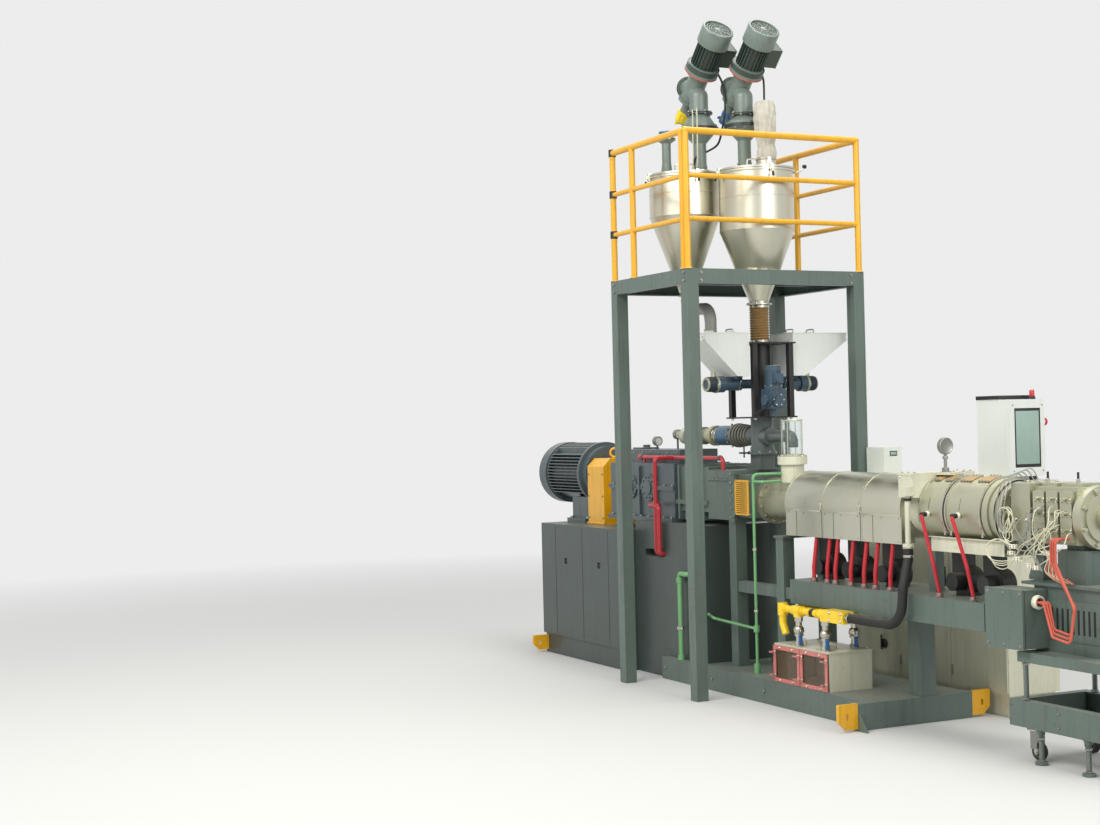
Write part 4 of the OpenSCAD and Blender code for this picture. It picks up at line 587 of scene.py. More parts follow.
# painted finishes: key, name, colour or its property, then clouding, dust, grime, gloss, coat
PAINTS = (
    ("structure", "Structure paint", "structure", 0.35, 0.35, 0.35, 0.42),
    ("cabinet", "Cabinet paint", "cabinet", 0.30, 0.30, 0.25, 0.38, 0.25),
    ("gear", "Gear paint", "gear", 0.35, 0.35, 0.40, 0.36, 0.25),
    ("yellow", "Safety yellow", "yellow", 0.22, 0.12, 0.22, 0.28, 0.35),
    ("manifold", "Manifold yellow", "manifold", 0.15, 0.10, 0.15, 0.22, 0.4),
    ("pale", "Beige paint", "pale", 0.25, 0.20, 0.22, 0.36, 0.2),
    ("white", "Off-white paint", "white", 0.12, 0.10, 0.06, 0.34, 0.25),
    ("red paint", "Red paint", "red", 0.25, 0.15, 0.25, 0.30, 0.3),
    ("green", "Green paint", "green", 0.25, 0.15, 0.25, 0.34, 0.2),
    ("loader", "Loader paint", "loader", 0.30, 0.20, 0.30, 0.36, 0.25),
    ("loader motor", "Loader motor paint", "motor", 0.30, 0.25, 0.30, 0.40, 0.15),
    ("drive", "Drive blue", "drive", 0.30, 0.20, 0.30, 0.36, 0.2),
    ("rubber", "Black rubber", "black", 0.20, 0.25, 0.05, 0.55, 0.0),
    ("black paint", "Black paint", "black", 0.20, 0.30, 0.10, 0.42, 0.15),
    ("grey plastic", "Grey plastic", paint(150, 152, 144), 0.2, 0.15, 0.2, 0.4, 0.1),
    ("red gasket", "Red gasket", paint(190, 96, 84), 0.2, 0.1, 0.2, 0.5, 0.0),
    ("yellow plastic", "Yellow plastic", paint(238, 212, 26), 0.12, 0.1, 0.15, 0.34, 0.2),
    ("blue plastic", "Blue plastic", paint(52, 104, 166), 0.15, 0.15, 0.15, 0.36, 0.2),
    ("red plastic", "Red plastic", paint(196, 30, 34), 0.1, 0.05, 0.1, 0.3, 0.3),
    ("black plastic", "Black plastic", paint(22, 23, 24), 0.1, 0.1, 0.05, 0.4, 0.1),
    ("ivory", "Ivory plastic", paint(232, 228, 208), 0.12, 0.1, 0.15, 0.4, 0.1),
    ("ceramic", "Ceramic", paint(236, 232, 214), 0.1, 0.1, 0.2, 0.5, 0.0),
    ("pale line", "Pale wire sleeve", paint(214, 212, 186), 0.2, 0.1, 0.2, 0.55, 0.0),
    ("orange line", "Orange wire sleeve", paint(206, 96, 62), 0.2, 0.1, 0.2, 0.5, 0.0),
    ("dial", "Dial face", paint(238, 238, 232), 0.05, 0.0, 0.05, 0.25, 0.4),
    ("screen", "Screen glass", paint(150, 176, 166), 0.25, 0.1, 0.05, 0.08, 0.8),
)


class EXTRUDER_OT_finishes(bpy.types.Operator):
    """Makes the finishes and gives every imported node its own"""

    bl_idname = "extruder.finishes"
    bl_label = "Finishes"

    def execute(self, context):
        tone = context.scene.extruder_finishes
        GROUPS["paint"] = make_paint_group()
        GROUPS["metal"] = make_metal_group()
        for key, name, colour, *surface in PAINTS:
            if isinstance(colour, str):
                colour = getattr(tone, colour)
            FINISH[key] = painted(name, colour, *surface)
        FINISH.update({
            "red sleeve": banded("Red sleeve", ((2.520, 3.300, paint(198, 92, 72)),), tone.red,
                                 clouding=0.25, dust=0.1, grime=0.2, gloss=0.6, coat=0.0),
            "feeder": banded("Feeder paint", (
                (-1.300, -1.173, paint(196, 198, 178)), (-1.173, -0.905, paint(128, 128, 108)),
                (-0.905, -0.757, paint(168, 166, 138)), (-0.757, -0.585, paint(64, 104, 132)),
                (-0.585, -0.360, paint(112, 114, 102))), paint(86, 98, 96),
                clouding=0.3, dust=0.25, grime=0.3, gloss=0.36, coat=0.2),
            "window": windowed("Window frame", paint(204, 118, 110)),
            "polished": metal("Polished stainless", tone.polished, 0.20, 0.24, 0.35),
            "cast": metal("Cast aluminium", tone.cast, 0.45, 0.42, 0.15, 0.15),
            "nickel": metal("Nickel plate", paint(196, 192, 182), 0.25, 0.18, 0.1),
            "zinc": metal("Zinc plate", paint(150, 150, 146), 0.35, 0.34, 0.1),
            "tan steel": metal("Heat-tinted steel", paint(186, 160, 112), 0.5, 0.40, 0.15),
            "glass": clear("Clear tube", (0.93, 0.97, 0.96, 1.0)),
            "bag film": film("Filter bag film", tone.cloth),
            "cloth": woven("Filter cloth", tuple(tone.cloth)),
            "bellows": woven("Sleeve cloth", tuple(tone.bellows)),
        })
        for name, node in NODES.items():
            if name not in NODE_FINISH:
                raise RuntimeError("no finish is listed for %s" % name)
            node.data.materials.clear()
            node.data.materials.append(FINISH[NODE_FINISH[name]])
        return {"FINISHED"}


# the places of the feeder column and the small hopper, and heights, in millimetres
COLUMN = (-262.0, 51.0)
SMALL = (-690.0, -232.0)
DECK = 2650
# where the vent hose stands upright, in X and Y
VENT_HOSE = (1568, -222, 0)


def loader_frame(place, rise):
    """The frame of a loader's leaning drive: Z runs up its axis."""
    return (at(place[0] - 56, place[1], rise) @ Matrix.Rotation(math.radians(44), 4, "Y"))


# each loader: its place, the foot of its neck, the height of its elbow, and the neck's shortening
LOADERS = (((-592, -165), 3361, 3900, 0), ((-318, 5), 3346, 3857, 28))


class EXTRUDER_OT_loader_parts(bpy.types.Operator):
    """Adds cowls, gaskets, bolts, couplings and cables to the two conveyor heads"""

    bl_idname = "extruder.loader_parts"
    bl_label = "Loader parts"

    def execute(self, context):
        cowls, gaskets, bolts, lids, black = fresh(5)
        for place, foot, rise, drop in LOADERS:
            lean = loader_frame(place, rise)
            upright = at(place[0], place[1], foot)
            revolve_in(cowls, [(100, 352), (104.2, 352), (105, 356), (105, 458),
                               (101, 465), (92, 467.5), (88, 464), (88, 456),
                               (86, 456), (100, 400)], lean, 48)
            for radius in (34, 48, 62, 76):
                ring_in(cowls, lean, radius - 2, radius + 2, 456, 461, 40, 0.8)
            spokes_in(cowls, lean, 8, 18, 88, 458.5, 2.6, 8)
            revolve_in(cowls, [(0, 455), (20, 455), (20, 461), (15, 464), (0, 464)], lean, 24)
            revolve_in(cowls, [(102, 141), (111, 141), (111.5, 150), (107, 172),
                               (100, 192), (80, 196), (80, 150)], lean, 48)
            ring_in(gaskets, lean, 96, 113.5, 133, 141, 48)
            bolts_in(bolts, lean @ at(0, 0, 133) @ OVER, 102, 6, 7, 9, 0.3)
            bolts_in(bolts, upright @ at(0, 0, 379 - drop), 77, 8, 6.5, 9)
            bolts_in(bolts, upright @ at(0, 0, 365 - drop) @ OVER, 79, 8, 6.5, 10)
            bolts_in(bolts, upright @ at(0, 0, 250) @ OVER, 117, 12, 6, 9)
            ring_in(black, upright, 124, 127.5, 252, 275, 48)
            ring_in(black, upright, 60, 89.5, 367.5 - drop, 376.5 - drop, 48)
            ring_in(lids, upright, 42, 47, 8, 30, 32)
            bar_in(lids, upright @ Vector((-10, -50, 19)), upright @ Vector((14, -50, 19)), 4, 8)
            stub = at(place[0] - 56, place[1], rise) @ Matrix.Rotation(math.radians(-70), 4, "Y")
            ring_in(black, stub, 50, 72.5, 93, 106, 40)
            box_in(lids, (-58, 160, 213), (58, 167, 347), 3, lean)
            for x in (-46, 46):
                for z in (224, 336):
                    hex_in(bolts, lean @ facing((x, 167, z), FAR), 4.5, 5)
            gland = facing((0, 118, 216), DOWN)
            hex_in(black, lean @ gland, 13, 18, 1.1)
            ring_in(lids, lean, 35.5, 38.5, -108, -96, 24)
        piece("loader_motor_cowls", cowls, "loader")
        piece("loader_motor_gaskets", gaskets, "red gasket")
        piece("loader_bolts", bolts, "zinc")
        piece("loader_box_lids_and_clamps", lids, "loader")
        piece("loader_joint_rings", black, "black paint")

        yellow, blue, cables, clear_lines = fresh(4)
        first = loader_frame(LOADERS[0][0], LOADERS[0][2])
        second = loader_frame(LOADERS[1][0], LOADERS[1][2])
        revolve_in(yellow, [(34, -165), (44, -168), (47, -180), (44, -192), (47, -204), (44, -216),
                            (47, -230), (41, -246), (30, -254), (0, -256)], first, 32)
        for number in range(6):
            turn = first @ spun(math.pi * number / 3)
            bar_in(yellow, turn @ Vector((46, 0, -172)), turn @ Vector((43, 0, -244)), 4, 8)
        revolve_in(blue, [(34, -165), (43, -168), (43.5, -200), (37, -206),
                          (37, -222), (43.5, -228), (42, -252), (0, -256)],
                   second, 32)
        box_in(blue, (-559, -46, 3700), (-535, -20, 3716), 3)
        box_in(yellow, (-821, -222, 3700), (-803, -196, 3716), 3)
        tube_in(cables, [first @ Vector((0, 118, 202)), first @ Vector((-10, 122, 150)),
                         (-470, -60, 3930), (-420, -70, 3840), (-408, -80, 3720),
                         (-430, -92, 3600), (-500, -84, 3520),
                         (-566, -128, 3480), (-575, -205, 3440),
                         (-610, -215, 3356)], 7, 10, 8)
        tube_in(cables, [second @ Vector((0, 118, 202)),
                         second @ Vector((-12, 120, 150)), (-225, 105, 3890),
                         (-222, 104, 3770), (-224, 112, 3650),
                         (-232, 150, 3450), (-236, 160, 3340)], 6.5, 10, 8)
        for x in (-497, -442):
            tube_in(clear_lines, [(x - 40, -236, 3744), (x - 8, -268, 3735), (x, -270, 3700),
                                  (x - 4, -270, 3550), (x - 8, -270, 3420), (x - 30, -262, 3360),
                                  (x - 60, -252, 3344)], 3.6, 8, 6)
        piece("first_loader_coupling", yellow, "yellow plastic")
        piece("second_loader_coupling", blue, "blue plastic")
        piece("loader_motor_cables", cables, "rubber")
        piece("loader_air_lines", clear_lines, "pale line")
        return {"FINISHED"}


class EXTRUDER_OT_hopper_parts(bpy.types.Operator):
    """Adds seams, lid clamps, grips and clamp bands to the hoppers and the platform"""

    bl_idname = "extruder.hopper_parts"
    bl_label = "Hopper parts"

    def execute(self, context):
        steel, bands, dark, rails = fresh(4)
        for place, radius, top, knee in ((COLUMN, 240, 3310, 2926), (SMALL, 232, 3325, 3057)):
            frame_here = at(place[0], place[1], 0)
            for level in (knee, knee + (top - knee) * 0.55):
                ring_in(steel, frame_here, radius - 1, radius + 2.2, level - 3, level + 3, 64)
            ring_in(dark, frame_here, radius + 3, radius + 10.6, top - 1.5, top + 1.5, 64, 0.5)
            for number in range(4):
                turn = frame_here @ spun(math.radians(80 + 90 * number))
                place_a = turn @ Vector((radius + 22, 0, top + 2))
                place_b = turn @ Vector((radius + 34, 0, top - 34))
                bar_in(steel, place_a, place_b, 5, 10)
                bar_in(dark, place_b, turn @ Vector((radius + 42, 0, top - 62)), 8, 12, 3)
            for side in (-1, 1):
                turn = frame_here @ spun(math.radians(-30))
                grip_in(steel, turn @ Vector((side * 150, -60, top + 18)),
                        turn @ Vector((side * 150, 60, top + 18)), (0, 0, 44), 5)
        outlet = at(COLUMN[0], COLUMN[1], 0)
        for level in (2217, 2440):
            ring_in(bands, outlet, 61, 65, level - 8, level + 8, 48)
            bar_in(bands, (COLUMN[0] + 40, COLUMN[1] - 66, level),
                   (COLUMN[0] + 62, COLUMN[1] - 48, level), 6, 12)
        bolts_in(bands, outlet @ at(0, 0, 2459), 74, 8, 6, 8)
        seat_z = DECK + 8
        bolts_in(bands, outlet @ at(0, 0, seat_z), 168, 12, 7, 8)
        bolts_in(bands, at(SMALL[0], SMALL[1], seat_z), 113, 8, 6, 8)
        tube_in(steel, [(-150, 285, 3300), (-135, 312, 3312), (-128, 330, 3330)], 6, 10, 4)
        revolve_in(dark, [(0, -14), (12, -10), (15, 0), (12, 10), (0, 14)],
                   facing((-126, 336, 3338), UP), 20)
        stack = at(-745, -330, 3361)
        ring_in(bands, stack, 61, 64.5, 213, 223, 40)
        piece("hopper_seams_and_grips", steel, "polished")
        piece("clamp_bands_and_seat_bolts", bands, "nickel")
        piece("lid_gaskets_and_lever_ends", dark, "rubber")

        cap = bmesh.new()
        revolve_in(cap, [(0, 269), (47, 269), (49, 260), (45, 258)], stack, 32)
        piece("vent_cap", cap, "blue plastic")

        joints = bmesh.new()
        corner_x, post_x, side_y = -929, -664, 638
        for level in (850, 574, 308):
            ring_in(joints, at(corner_x, -side_y, DECK + level), 19, 25, -24, 24, 24)
        for x, y in ((corner_x, -side_y), (post_x, -side_y), (-27, -side_y), (19, -side_y),
                     (19, side_y), (corner_x, side_y), (post_x, side_y)):
            revolve_in(rails, [(20, 0), (29, 0), (27, 4), (21.5, 9)], at(x, y, DECK), 24)
        piece("rail_joint_sleeves", joints, "black paint")
        piece("rail_post_welds", rails, "yellow")
        return {"FINISHED"}


class EXTRUDER_OT_filter_bag(bpy.types.Operator):
    """Hangs the crumpled translucent filter bag over its socket"""

    bl_idname = "extruder.filter_bag"
    bl_label = "Filter bag"

    def execute(self, context):
        around, levels = 72, 64
        low, high = 3350, 3742
        place = (-124, 42)
        bm = bmesh.new()
        rings = []
        for level in range(levels + 1):
            t = level / levels
            height = low + (high - low) * t
            body = 58 + 9 * math.sin(math.pi * min(1, t * 2.4) * 0.5)
            pinch = 14 * math.exp(-((t - 0.30) / 0.10) ** 2)
            top = 12 * max(0, (t - 0.86) / 0.14) ** 2
            ring = []
            for step in range(around):
                turn = 2 * math.pi * step / around
                folds = (3.4 * math.sin(7 * turn + 5 * t) + 2.2 * math.sin(11 * turn - 9 * t)
                         + 1.6 * math.sin(19 * turn + 23 * t)
                         + 2 * math.sin(3 * turn + 31 * t) * math.sin(17 * t))
                fade = min(1, t * 9)
                radius = body - pinch - top + folds * fade * (0.6 + 0.7 * t)
                ring.append(bm.verts.new((place[0] + 4 * math.sin(5 * t) * fade
                                          + radius * math.cos(turn),
                                          place[1] + 3 * math.sin(7 * t + 1) * fade
                                          + radius * math.sin(turn), height)))
            rings.append(ring)
        for first, second in zip(rings, rings[1:]):
            for k in range(around):
                bm.faces.new((first[k], first[(k + 1) % around], second[(k + 1) % around],
                              second[k]))
        crown = bm.verts.new((place[0], place[1], high - 4))
        inner = [bm.verts.new(vert.co.lerp(crown.co, 0.45) + Vector((0, 0, 3 * math.sin(k))))
                 for k, vert in enumerate(rings[-1])]
        for k in range(around):
            after = (k + 1) % around
            bm.faces.new((rings[-1][k], rings[-1][after], inner[after], inner[k]))
            bm.faces.new((inner[k], inner[after], crown))
        bmesh.ops.recalc_face_normals(bm, faces=bm.faces[:])
        bmesh.ops.solidify(bm, geom=bm.faces[:], thickness=0.9)
        bag = piece("filter_bag_cloth", bm, "bag film", smooth=180)
        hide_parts("filter_bag")
        band = bmesh.new()
        here = at(place[0], place[1], 0)
        ring_in(band, here, 60, 66, 3364, 3378, 48)
        bar_in(band, (place[0] + 30, place[1] - 62, 3371),
               (place[0] + 52, place[1] - 46, 3371), 5, 10)
        piece("filter_bag_band", band, "nickel")
        return {"FINISHED"}


class EXTRUDER_OT_feeder_parts(bpy.types.Operator):
    """Adds bolts, drum ends, clear-tube rings and fittings to the feeder column"""

    bl_idname = "extruder.feeder_parts"
    bl_label = "Feeder parts"

    def execute(self, context):
        bolts, pale, glass, dark = fresh(4)
        cx, cy = COLUMN
        for sx in (-1, 1):
            for sy in (-1, 1):
                head_in(bolts, (cx + sx * 135, cy + sy * 135, 2206), UP, 9, 11)
                head_in(bolts, (cx + sx * 135, cy + sy * 135, 1722), DOWN, 9, 11)
        drum_z = 1943
        for side in (-1, 1):
            drum = facing((cx, cy + side * 407, drum_z), (0, side, 0))
            ring_in(pale, drum, 30, 45.5, 0, 7, 36)
            bolts_in(bolts, drum @ at(0, 0, 6), 38, 6, 4, 5)
            for step in range(5):
                ring_in(dark, drum, 45.8, 48.5, -46 + step * 9, -42 + step * 9, 36)
            ring_in(pale, drum, 51.8, 55.5, -72, -58, 36)
            bar_in(pale, (cx, cy + side * 358, 1990), (cx, cy + side * 358, 2022), 16, 16)
            yoke = (cx + 26, cy + side * 330, 1968)
            tube_in(pale, [yoke, (cx + 52, cy + side * 350, 1940),
                           (cx + 30, cy + side * 352, 1906)], 5, 8, 5)
            ring_in(bolts, facing((cx, cy + side * 170, drum_z), (0, side, 0)), 40.5, 44, 0, 12, 32)
            head_in(bolts, (cx + 45.5, cy + side * 215, 1982), AHEAD, 5, 6)
        throat_x = 151
        throat = at(throat_x, 0, 0)
        ring_in(pale, throat, 60, 76, 1480.5, 1492, 48)
        bolts_in(bolts, throat @ at(0, 0, 1480), 84, 8, 5.5, 7, 0.2)
        ring_in(glass, throat, 55, 65.5, 1697, 1708, 48)
        for turn in (0.6, 2.2, 3.7, 5.3):
            x, y = throat_x + 69 * math.cos(turn), 69 * math.sin(turn)
            bar_in(glass, (x, y, 1480), (x, y, 1712), 3, 10)
        screw = facing((0, cy, 1612), AHEAD)
        for place in (-848, -800, -764):
            ring_in(bolts, screw, 49 if place < -805 else 53, 60.5, place, place + 9, 40)
        bolts_in(bolts, screw @ at(0, 0, -586), 74, 10, 6.5, 8)
        bolts_in(bolts, screw @ at(0, 0, -745) @ OVER, 59, 8, 5.5, 8)
        bolts_in(bolts, at(cx, cy, 1504), 86, 8, 6, 7)
        bar_in(dark, (cx - 48, cy - 110, 1470), (cx - 48, cy - 110, 1545), 5, 10)
        bar_in(dark, (cx - 92, cy - 118, 1500), (cx - 20, cy - 92, 1500), 6, 10)
        bar_in(dark, (cx - 30, cy - 60, 1500), (cx - 22, cy - 96, 1500), 9, 12)
        agitator = (COLUMN[0] + 219, cy - 50)
        motor = at(agitator[0], agitator[1], 0)
        ring_in(bolts, motor, 44, 53, 2050, 2053, 36)
        bolts_in(bolts, motor @ at(0, 0, 1923), 52, 4, 5, 6, 0.7)
        spokes_in(dark, motor, 8, 12, 42, 2053.5, 1.8, 6)
        worm = facing((agitator[0] + 62, agitator[1], 1835), AHEAD)
        bolts_in(bolts, worm, 36, 6, 4.5, 5)
        tube_in(dark, [(agitator[0] + 62, agitator[1] - 10, 1958),
                       (agitator[0] + 96, agitator[1] - 30, 1930),
                       (agitator[0] + 92, agitator[1] - 60, 1820),
                       (cx + 150, cy - 152, 1745)], 5, 8, 8)
        for side, reach in ((-1, 490), (1, 585)):
            for y in (230, 390):
                grip_in(pale, (cx - 40, cy + side * y, 2267), (cx + 40, cy + side * y, 2267),
                        (0, 0, 26), 4)
            for x in (-100, 0, 100):
                head_in(bolts, (cx + x, cy + side * reach, 2240), (0, side, 0), 4.5, 5)
        for x in (cx - 118, cx + 118):
            for side, reach in ((-1, 490), (1, 585)):
                box_in(pale, (x - 9, cy + side * (reach + 2) - 4, 2214),
                       (x + 9, cy + side * (reach + 2) + 4, 2226), 1.5)
        ring_in(bolts, facing((SMALL[0], SMALL[1], 2500), UP), 38.6, 42.5, 0, 16, 32)
        piece("feeder_bolts_and_rings", bolts, "nickel")
        piece("feeder_pale_fittings", pale, "cast")
        piece("clear_tube_rim_and_rods", glass, "polished")
        piece("feeder_dark_fittings", dark, "black paint")
        return {"FINISHED"}


class EXTRUDER_OT_drive_parts(bpy.types.Operator):
    """Adds gauges, bolts, seams and covers to the motor, the guards and the gearbox"""

    bl_idname = "extruder.drive_parts"
    bl_label = "Drive parts"

    def execute(self, context):
        bolts, dials, marks, dark, guard, seams = fresh(6)
        motor_z = 1338
        for x, rise in ((-1545, 50), (-1255, 96)):
            dial = facing((x + 16, 0, 1522 + rise + 6), AHEAD)
            revolve_in(dials, [(0, 0.3), (28.5, 0.3), (28.5, 1.2), (0, 1.6)], dial, 40)
            ring_in(bolts, dial, 28, 34, -30, 4.5, 40)
            head_in(bolts, (x, 0, 1502 + rise), UP, 11, 14, 0)
            for number in range(11):
                turn = dial @ spun(math.radians(-135 + 27 * number))
                box_in(marks, (-24.5, -0.7, 1.2), (-19.5, 0.7, 2.2), 0.2, turn)
            box_in(marks, (-18, -0.9, 1.6), (4, 0.9, 2.8), 0.3, dial @ spun(0.5))
        for side in (-1, 1):
            look = (0, side, 0)
            for number in range(9):
                x = -1800 + number * 105
                head_in(bolts, (x, side * 234 - side * 8, 1278), UP, 7, 9)
                head_in(bolts, (x, side * 236, 1061), UP, 8, 10)
            for number in range(6):
                head_in(bolts, (-248, side * 204, 1095 + number * 55), look, 8, 8)
            for number in range(5):
                head_in(bolts, (-505 + number * 50, side * 208, 1332), look, 5, 5)
        for number in range(7):
            for side in (-1, 1):
                head_in(bolts, (-1735 + number * 120, side * 150, 1500), (0, side, 0), 6, 6)
        box_in(seams, (-840, -201, 1150), (-620, -190, 1290), 6)
        box_in(seams, (-1800, -60, 1520), (-1640, 70, 1534), 4)
        ring_in(seams, facing((-1700, 0, 1534), UP), 8, 26, 0, 18, 24)
        for corner in ((-8, 1120), (-182, 1120), (-8, 1328), (-182, 1328)):
            head_in(bolts, (corner[0] - 8, -210.5, corner[1]), AISLE, 5, 5)
        for side in (-1, 1):
            heads_in(bolts, ((-2235, -2018), side * 200.5, (1020, 1180, 1340)), (0, side, 0), 6, 6)
        box_in(guard, (-2262, -212, 973), (-1992, -199, 985), 2)
        box_in(guard, (-2262, 199, 973), (-1992, 212, 985), 2)
        slot = facing((-1930, 0, AXIS_Z), AHEAD)
        for number in range(7):
            turn = slot @ spun(math.radians(-150 + 9 * number))
            box_in(dark, (107.2, -7.6, -8), (108.8, 7.6, 8), 0.5, turn)
        end = facing((-3030, 0, motor_z), BEHIND)
        for radius in range(40, 200, 20):
            ring_in(dark, end, radius - 2, radius + 2, 0.4, 4, 48, 0.8)
        spokes_in(dark, end, 12, 24, 206, 2.4, 2.6, 8)
        revolve_in(dark, [(0, 0.2), (24, 0.2), (24, 5), (18, 8), (0, 8)], end, 28)
        for number in range(8):
            turn = end @ spun(math.pi * (number + 0.5) / 4)
            hex_in(bolts, turn @ at(222, 0, -20), 6, 7)
        heads_in(bolts, ((-2600, -2340), (-165, 165), 1002), UP, 11, 14)
        box_in(seams, (-2826, 284, 1372), (-2634, 292, 1514), 4)
        for x, z in ((-2812, 1384), (-2648, 1384), (-2812, 1502), (-2648, 1502)):
            head_in(bolts, (x, 292, z), FAR, 5, 5)
        ring_in(seams, facing((-2200, 0, motor_z), AHEAD), 30, 62, 0, 14, 32)
        for lock_x in (-2227, -1702):
            revolve_in(dark, [(0, 0), (10, 0), (10, 6), (7, 9), (0, 9)],
                       facing((lock_x, -398.5, 705), AISLE), 20)
        for x in (-2395, -1960, -1560):
            box_in(dark, (x - 1.5, -411.2, 165), (x + 1.5, -409.4, 955), 0.4)
            box_in(dark, (x - 1.5, 409.4, 165), (x + 1.5, 411.2, 955), 0.4)
        for x in (-1430, -1100, -760, -400):
            ring_in(seams, facing((x, -185, 1470), AHEAD), 12, 18.5, -9, 9, 24)
        piece("drive_bolts_and_bezels", bolts, "zinc")
        piece("gauge_dials", dials, "dial")
        piece("gauge_ticks_and_needles", marks, "black paint")
        piece("grille_slots_and_seams", dark, "black paint")
        piece("guard_edges", guard, "yellow")
        piece("drive_covers_and_unions", seams, "gear")
        return {"FINISHED"}


class EXTRUDER_OT_barrel_parts(bpy.types.Operator):
    """Adds seams, clips, terminals and bolts along the barrel"""

    bl_idname = "extruder.barrel_parts"
    bl_label = "Barrel parts"

    def execute(self, context):
        screws, straps, tan, ceramic, dark, chrome = fresh(6)
        cover_y, strap_y, cover_top = 185.2, 192.6, 1404
        for start in (345, 721, 1097):
            for side in (-1, 1):
                look = (0, side, 0)
                for x in (26, 185, 344):
                    for z in (1150, 1026):
                        revolve_in(screws, [(0, 0), (5, 0), (4.2, 2.4), (0, 3.2)],
                                   facing((start + x, side * cover_y, z), look), 14)
                box_in(straps, (start + 2, side * strap_y - 1.4, 1160),
                       (start + 368, side * strap_y + 1.4, 1172), 1.2)
                box_in(dark, (start + 108, side * 185.4 - 0.7, 1012),
                       (start + 110.4, side * 185.4 + 0.7, 1162), 0.3)
        for x in (718, 1094):
            arc_in(straps, x - 9, x + 9, 195.2, -98, 98, 1.4)
            for side in (-1, 1):
                box_in(straps, (x - 12, side * 199 - 5, 1178), (x + 12, side * 199 + 5, 1214), 2)
        heads_in(screws, ((1490, 1543, 1596), (-190, 190), cover_top), UP, 6, 7)
        for z in (1290, 1380):
            heads_in(screws, ((1490, 1596), -205.2, z), AISLE, 5, 5)
        heads_in(screws, ((1640, 1715), (-42, 42), cover_top), UP, 6, 7)
        pipe = facing(VENT_HOSE, UP)
        ring_in(dark, pipe, 14.5, 22, 1254, 1268, 28)
        ring_in(screws, pipe, 24, 33, 998, 1006, 28)
        for start, length in ((1613, 205), (1830, 285)):
            for edge in (start + 7, start + length - 7):
                ring_in(screws, facing((edge, 0, AXIS_Z), AHEAD), 187.5, 190.5, -5, 5, 72, 0.8)
            middle = start + length * 0.42
            for low, high in ((start + 24, middle), (start + length * 0.58, start + length - 24)):
                arc_in(tan, low, high, 185, -30, -4, 5)
                for number in range(4):
                    x = low + 12 + number * (high - low - 24) / 3
                    for degrees, height, upright in ((-4, 9, True), (-30, 7, False)):
                        turn = math.radians(degrees)
                        out = Vector((0, math.sin(turn), math.cos(turn)))
                        head_in(screws, Vector((x, 0, AXIS_Z)) + out * 190,
                                UP if upright else out, 5, height)
            for side in (-1, 1):
                for x in (start + 18, start + length - 18):
                    box_in(screws, (x - 9, side * 150 - 10, 1076),
                           (x + 9, side * 150 + 10, 1104), 2)
                    head_in(screws, (x, side * 150, 1104), UP, 6, 16)
            post = facing((middle, -203, 1186), AISLE)
            ring_in(ceramic, post, 12, 17, -13, -1, 24)
            revolve_in(dark, [(0, 1.5), (12, 1.5), (13.5, 8), (13, 26), (10.8, 34),
                              (0, 34)], post, 20)
        for number in range(12):
            turn = Matrix.Rotation(math.pi * number / 6, 4, "X")
            spot = turn @ Vector((0, 156, 0))
            head_in(screws, (2245, spot.y, AXIS_Z + spot.z), AHEAD, 9, 10)
        for x in (2161, 2203):
            ring_in(dark, facing((x, 0, AXIS_Z), AHEAD), 160, 172.6, -1.2, 1.2, 64, 0.4)
        for y in (-118, 118):
            heads_in(screws, (2305, y * 0.9, (1096, 1340)), BEHIND, 11, 12)
            for x in (2335, 2412):
                hex_in(screws, facing((x, math.copysign(145, y), 1180),
                                      (0, math.copysign(1, y), 0)), 9, 10)
        heads_in(screws, ((2335, 2412), (-60, 60), 1363), UP, 9, 12)
        mount = facing((-20, 0, AXIS_Z), AHEAD)
        bolts_in(screws, mount, 128, 12, 9, 10, 0.26)
        sensor_x = 1622
        stem = at(sensor_x, 0, 0)
        bar_in(chrome, (sensor_x, 0, 1400), (sensor_x, 0, 1500), 9, 20)
        hex_in(chrome, stem @ at(0, 0, 1404), 20, 24)
        hex_in(chrome, stem @ at(0, 0, 1470), 15, 20, 0)
        revolve_in(chrome, [(0, -16), (40, -16), (46, -11), (46, 12), (42, 16),
                            (38, 13), (0, 13)], facing((sensor_x, 0, 1545), AHEAD), 40)
        for x in (640, 775, 855, 1005, 1130, 1235, 1370, 1789, 2060):
            spot = at(x, -196, 748)
            hex_in(chrome, spot, 20.5, 10, 0)
            ring_in(chrome, spot, 17.5, 19.5, 9, 25, 24)
        piece("barrel_screws_and_bands", screws, "nickel")
        piece("cover_straps", straps, "polished")
        piece("heater_contact_plates", tan, "tan steel")
        piece("terminal_posts", ceramic, "ceramic")
        piece("barrel_seams_and_boots", dark, "rubber")
        piece("sensor_and_cable_glands", chrome, "zinc")
        return {"FINISHED"}


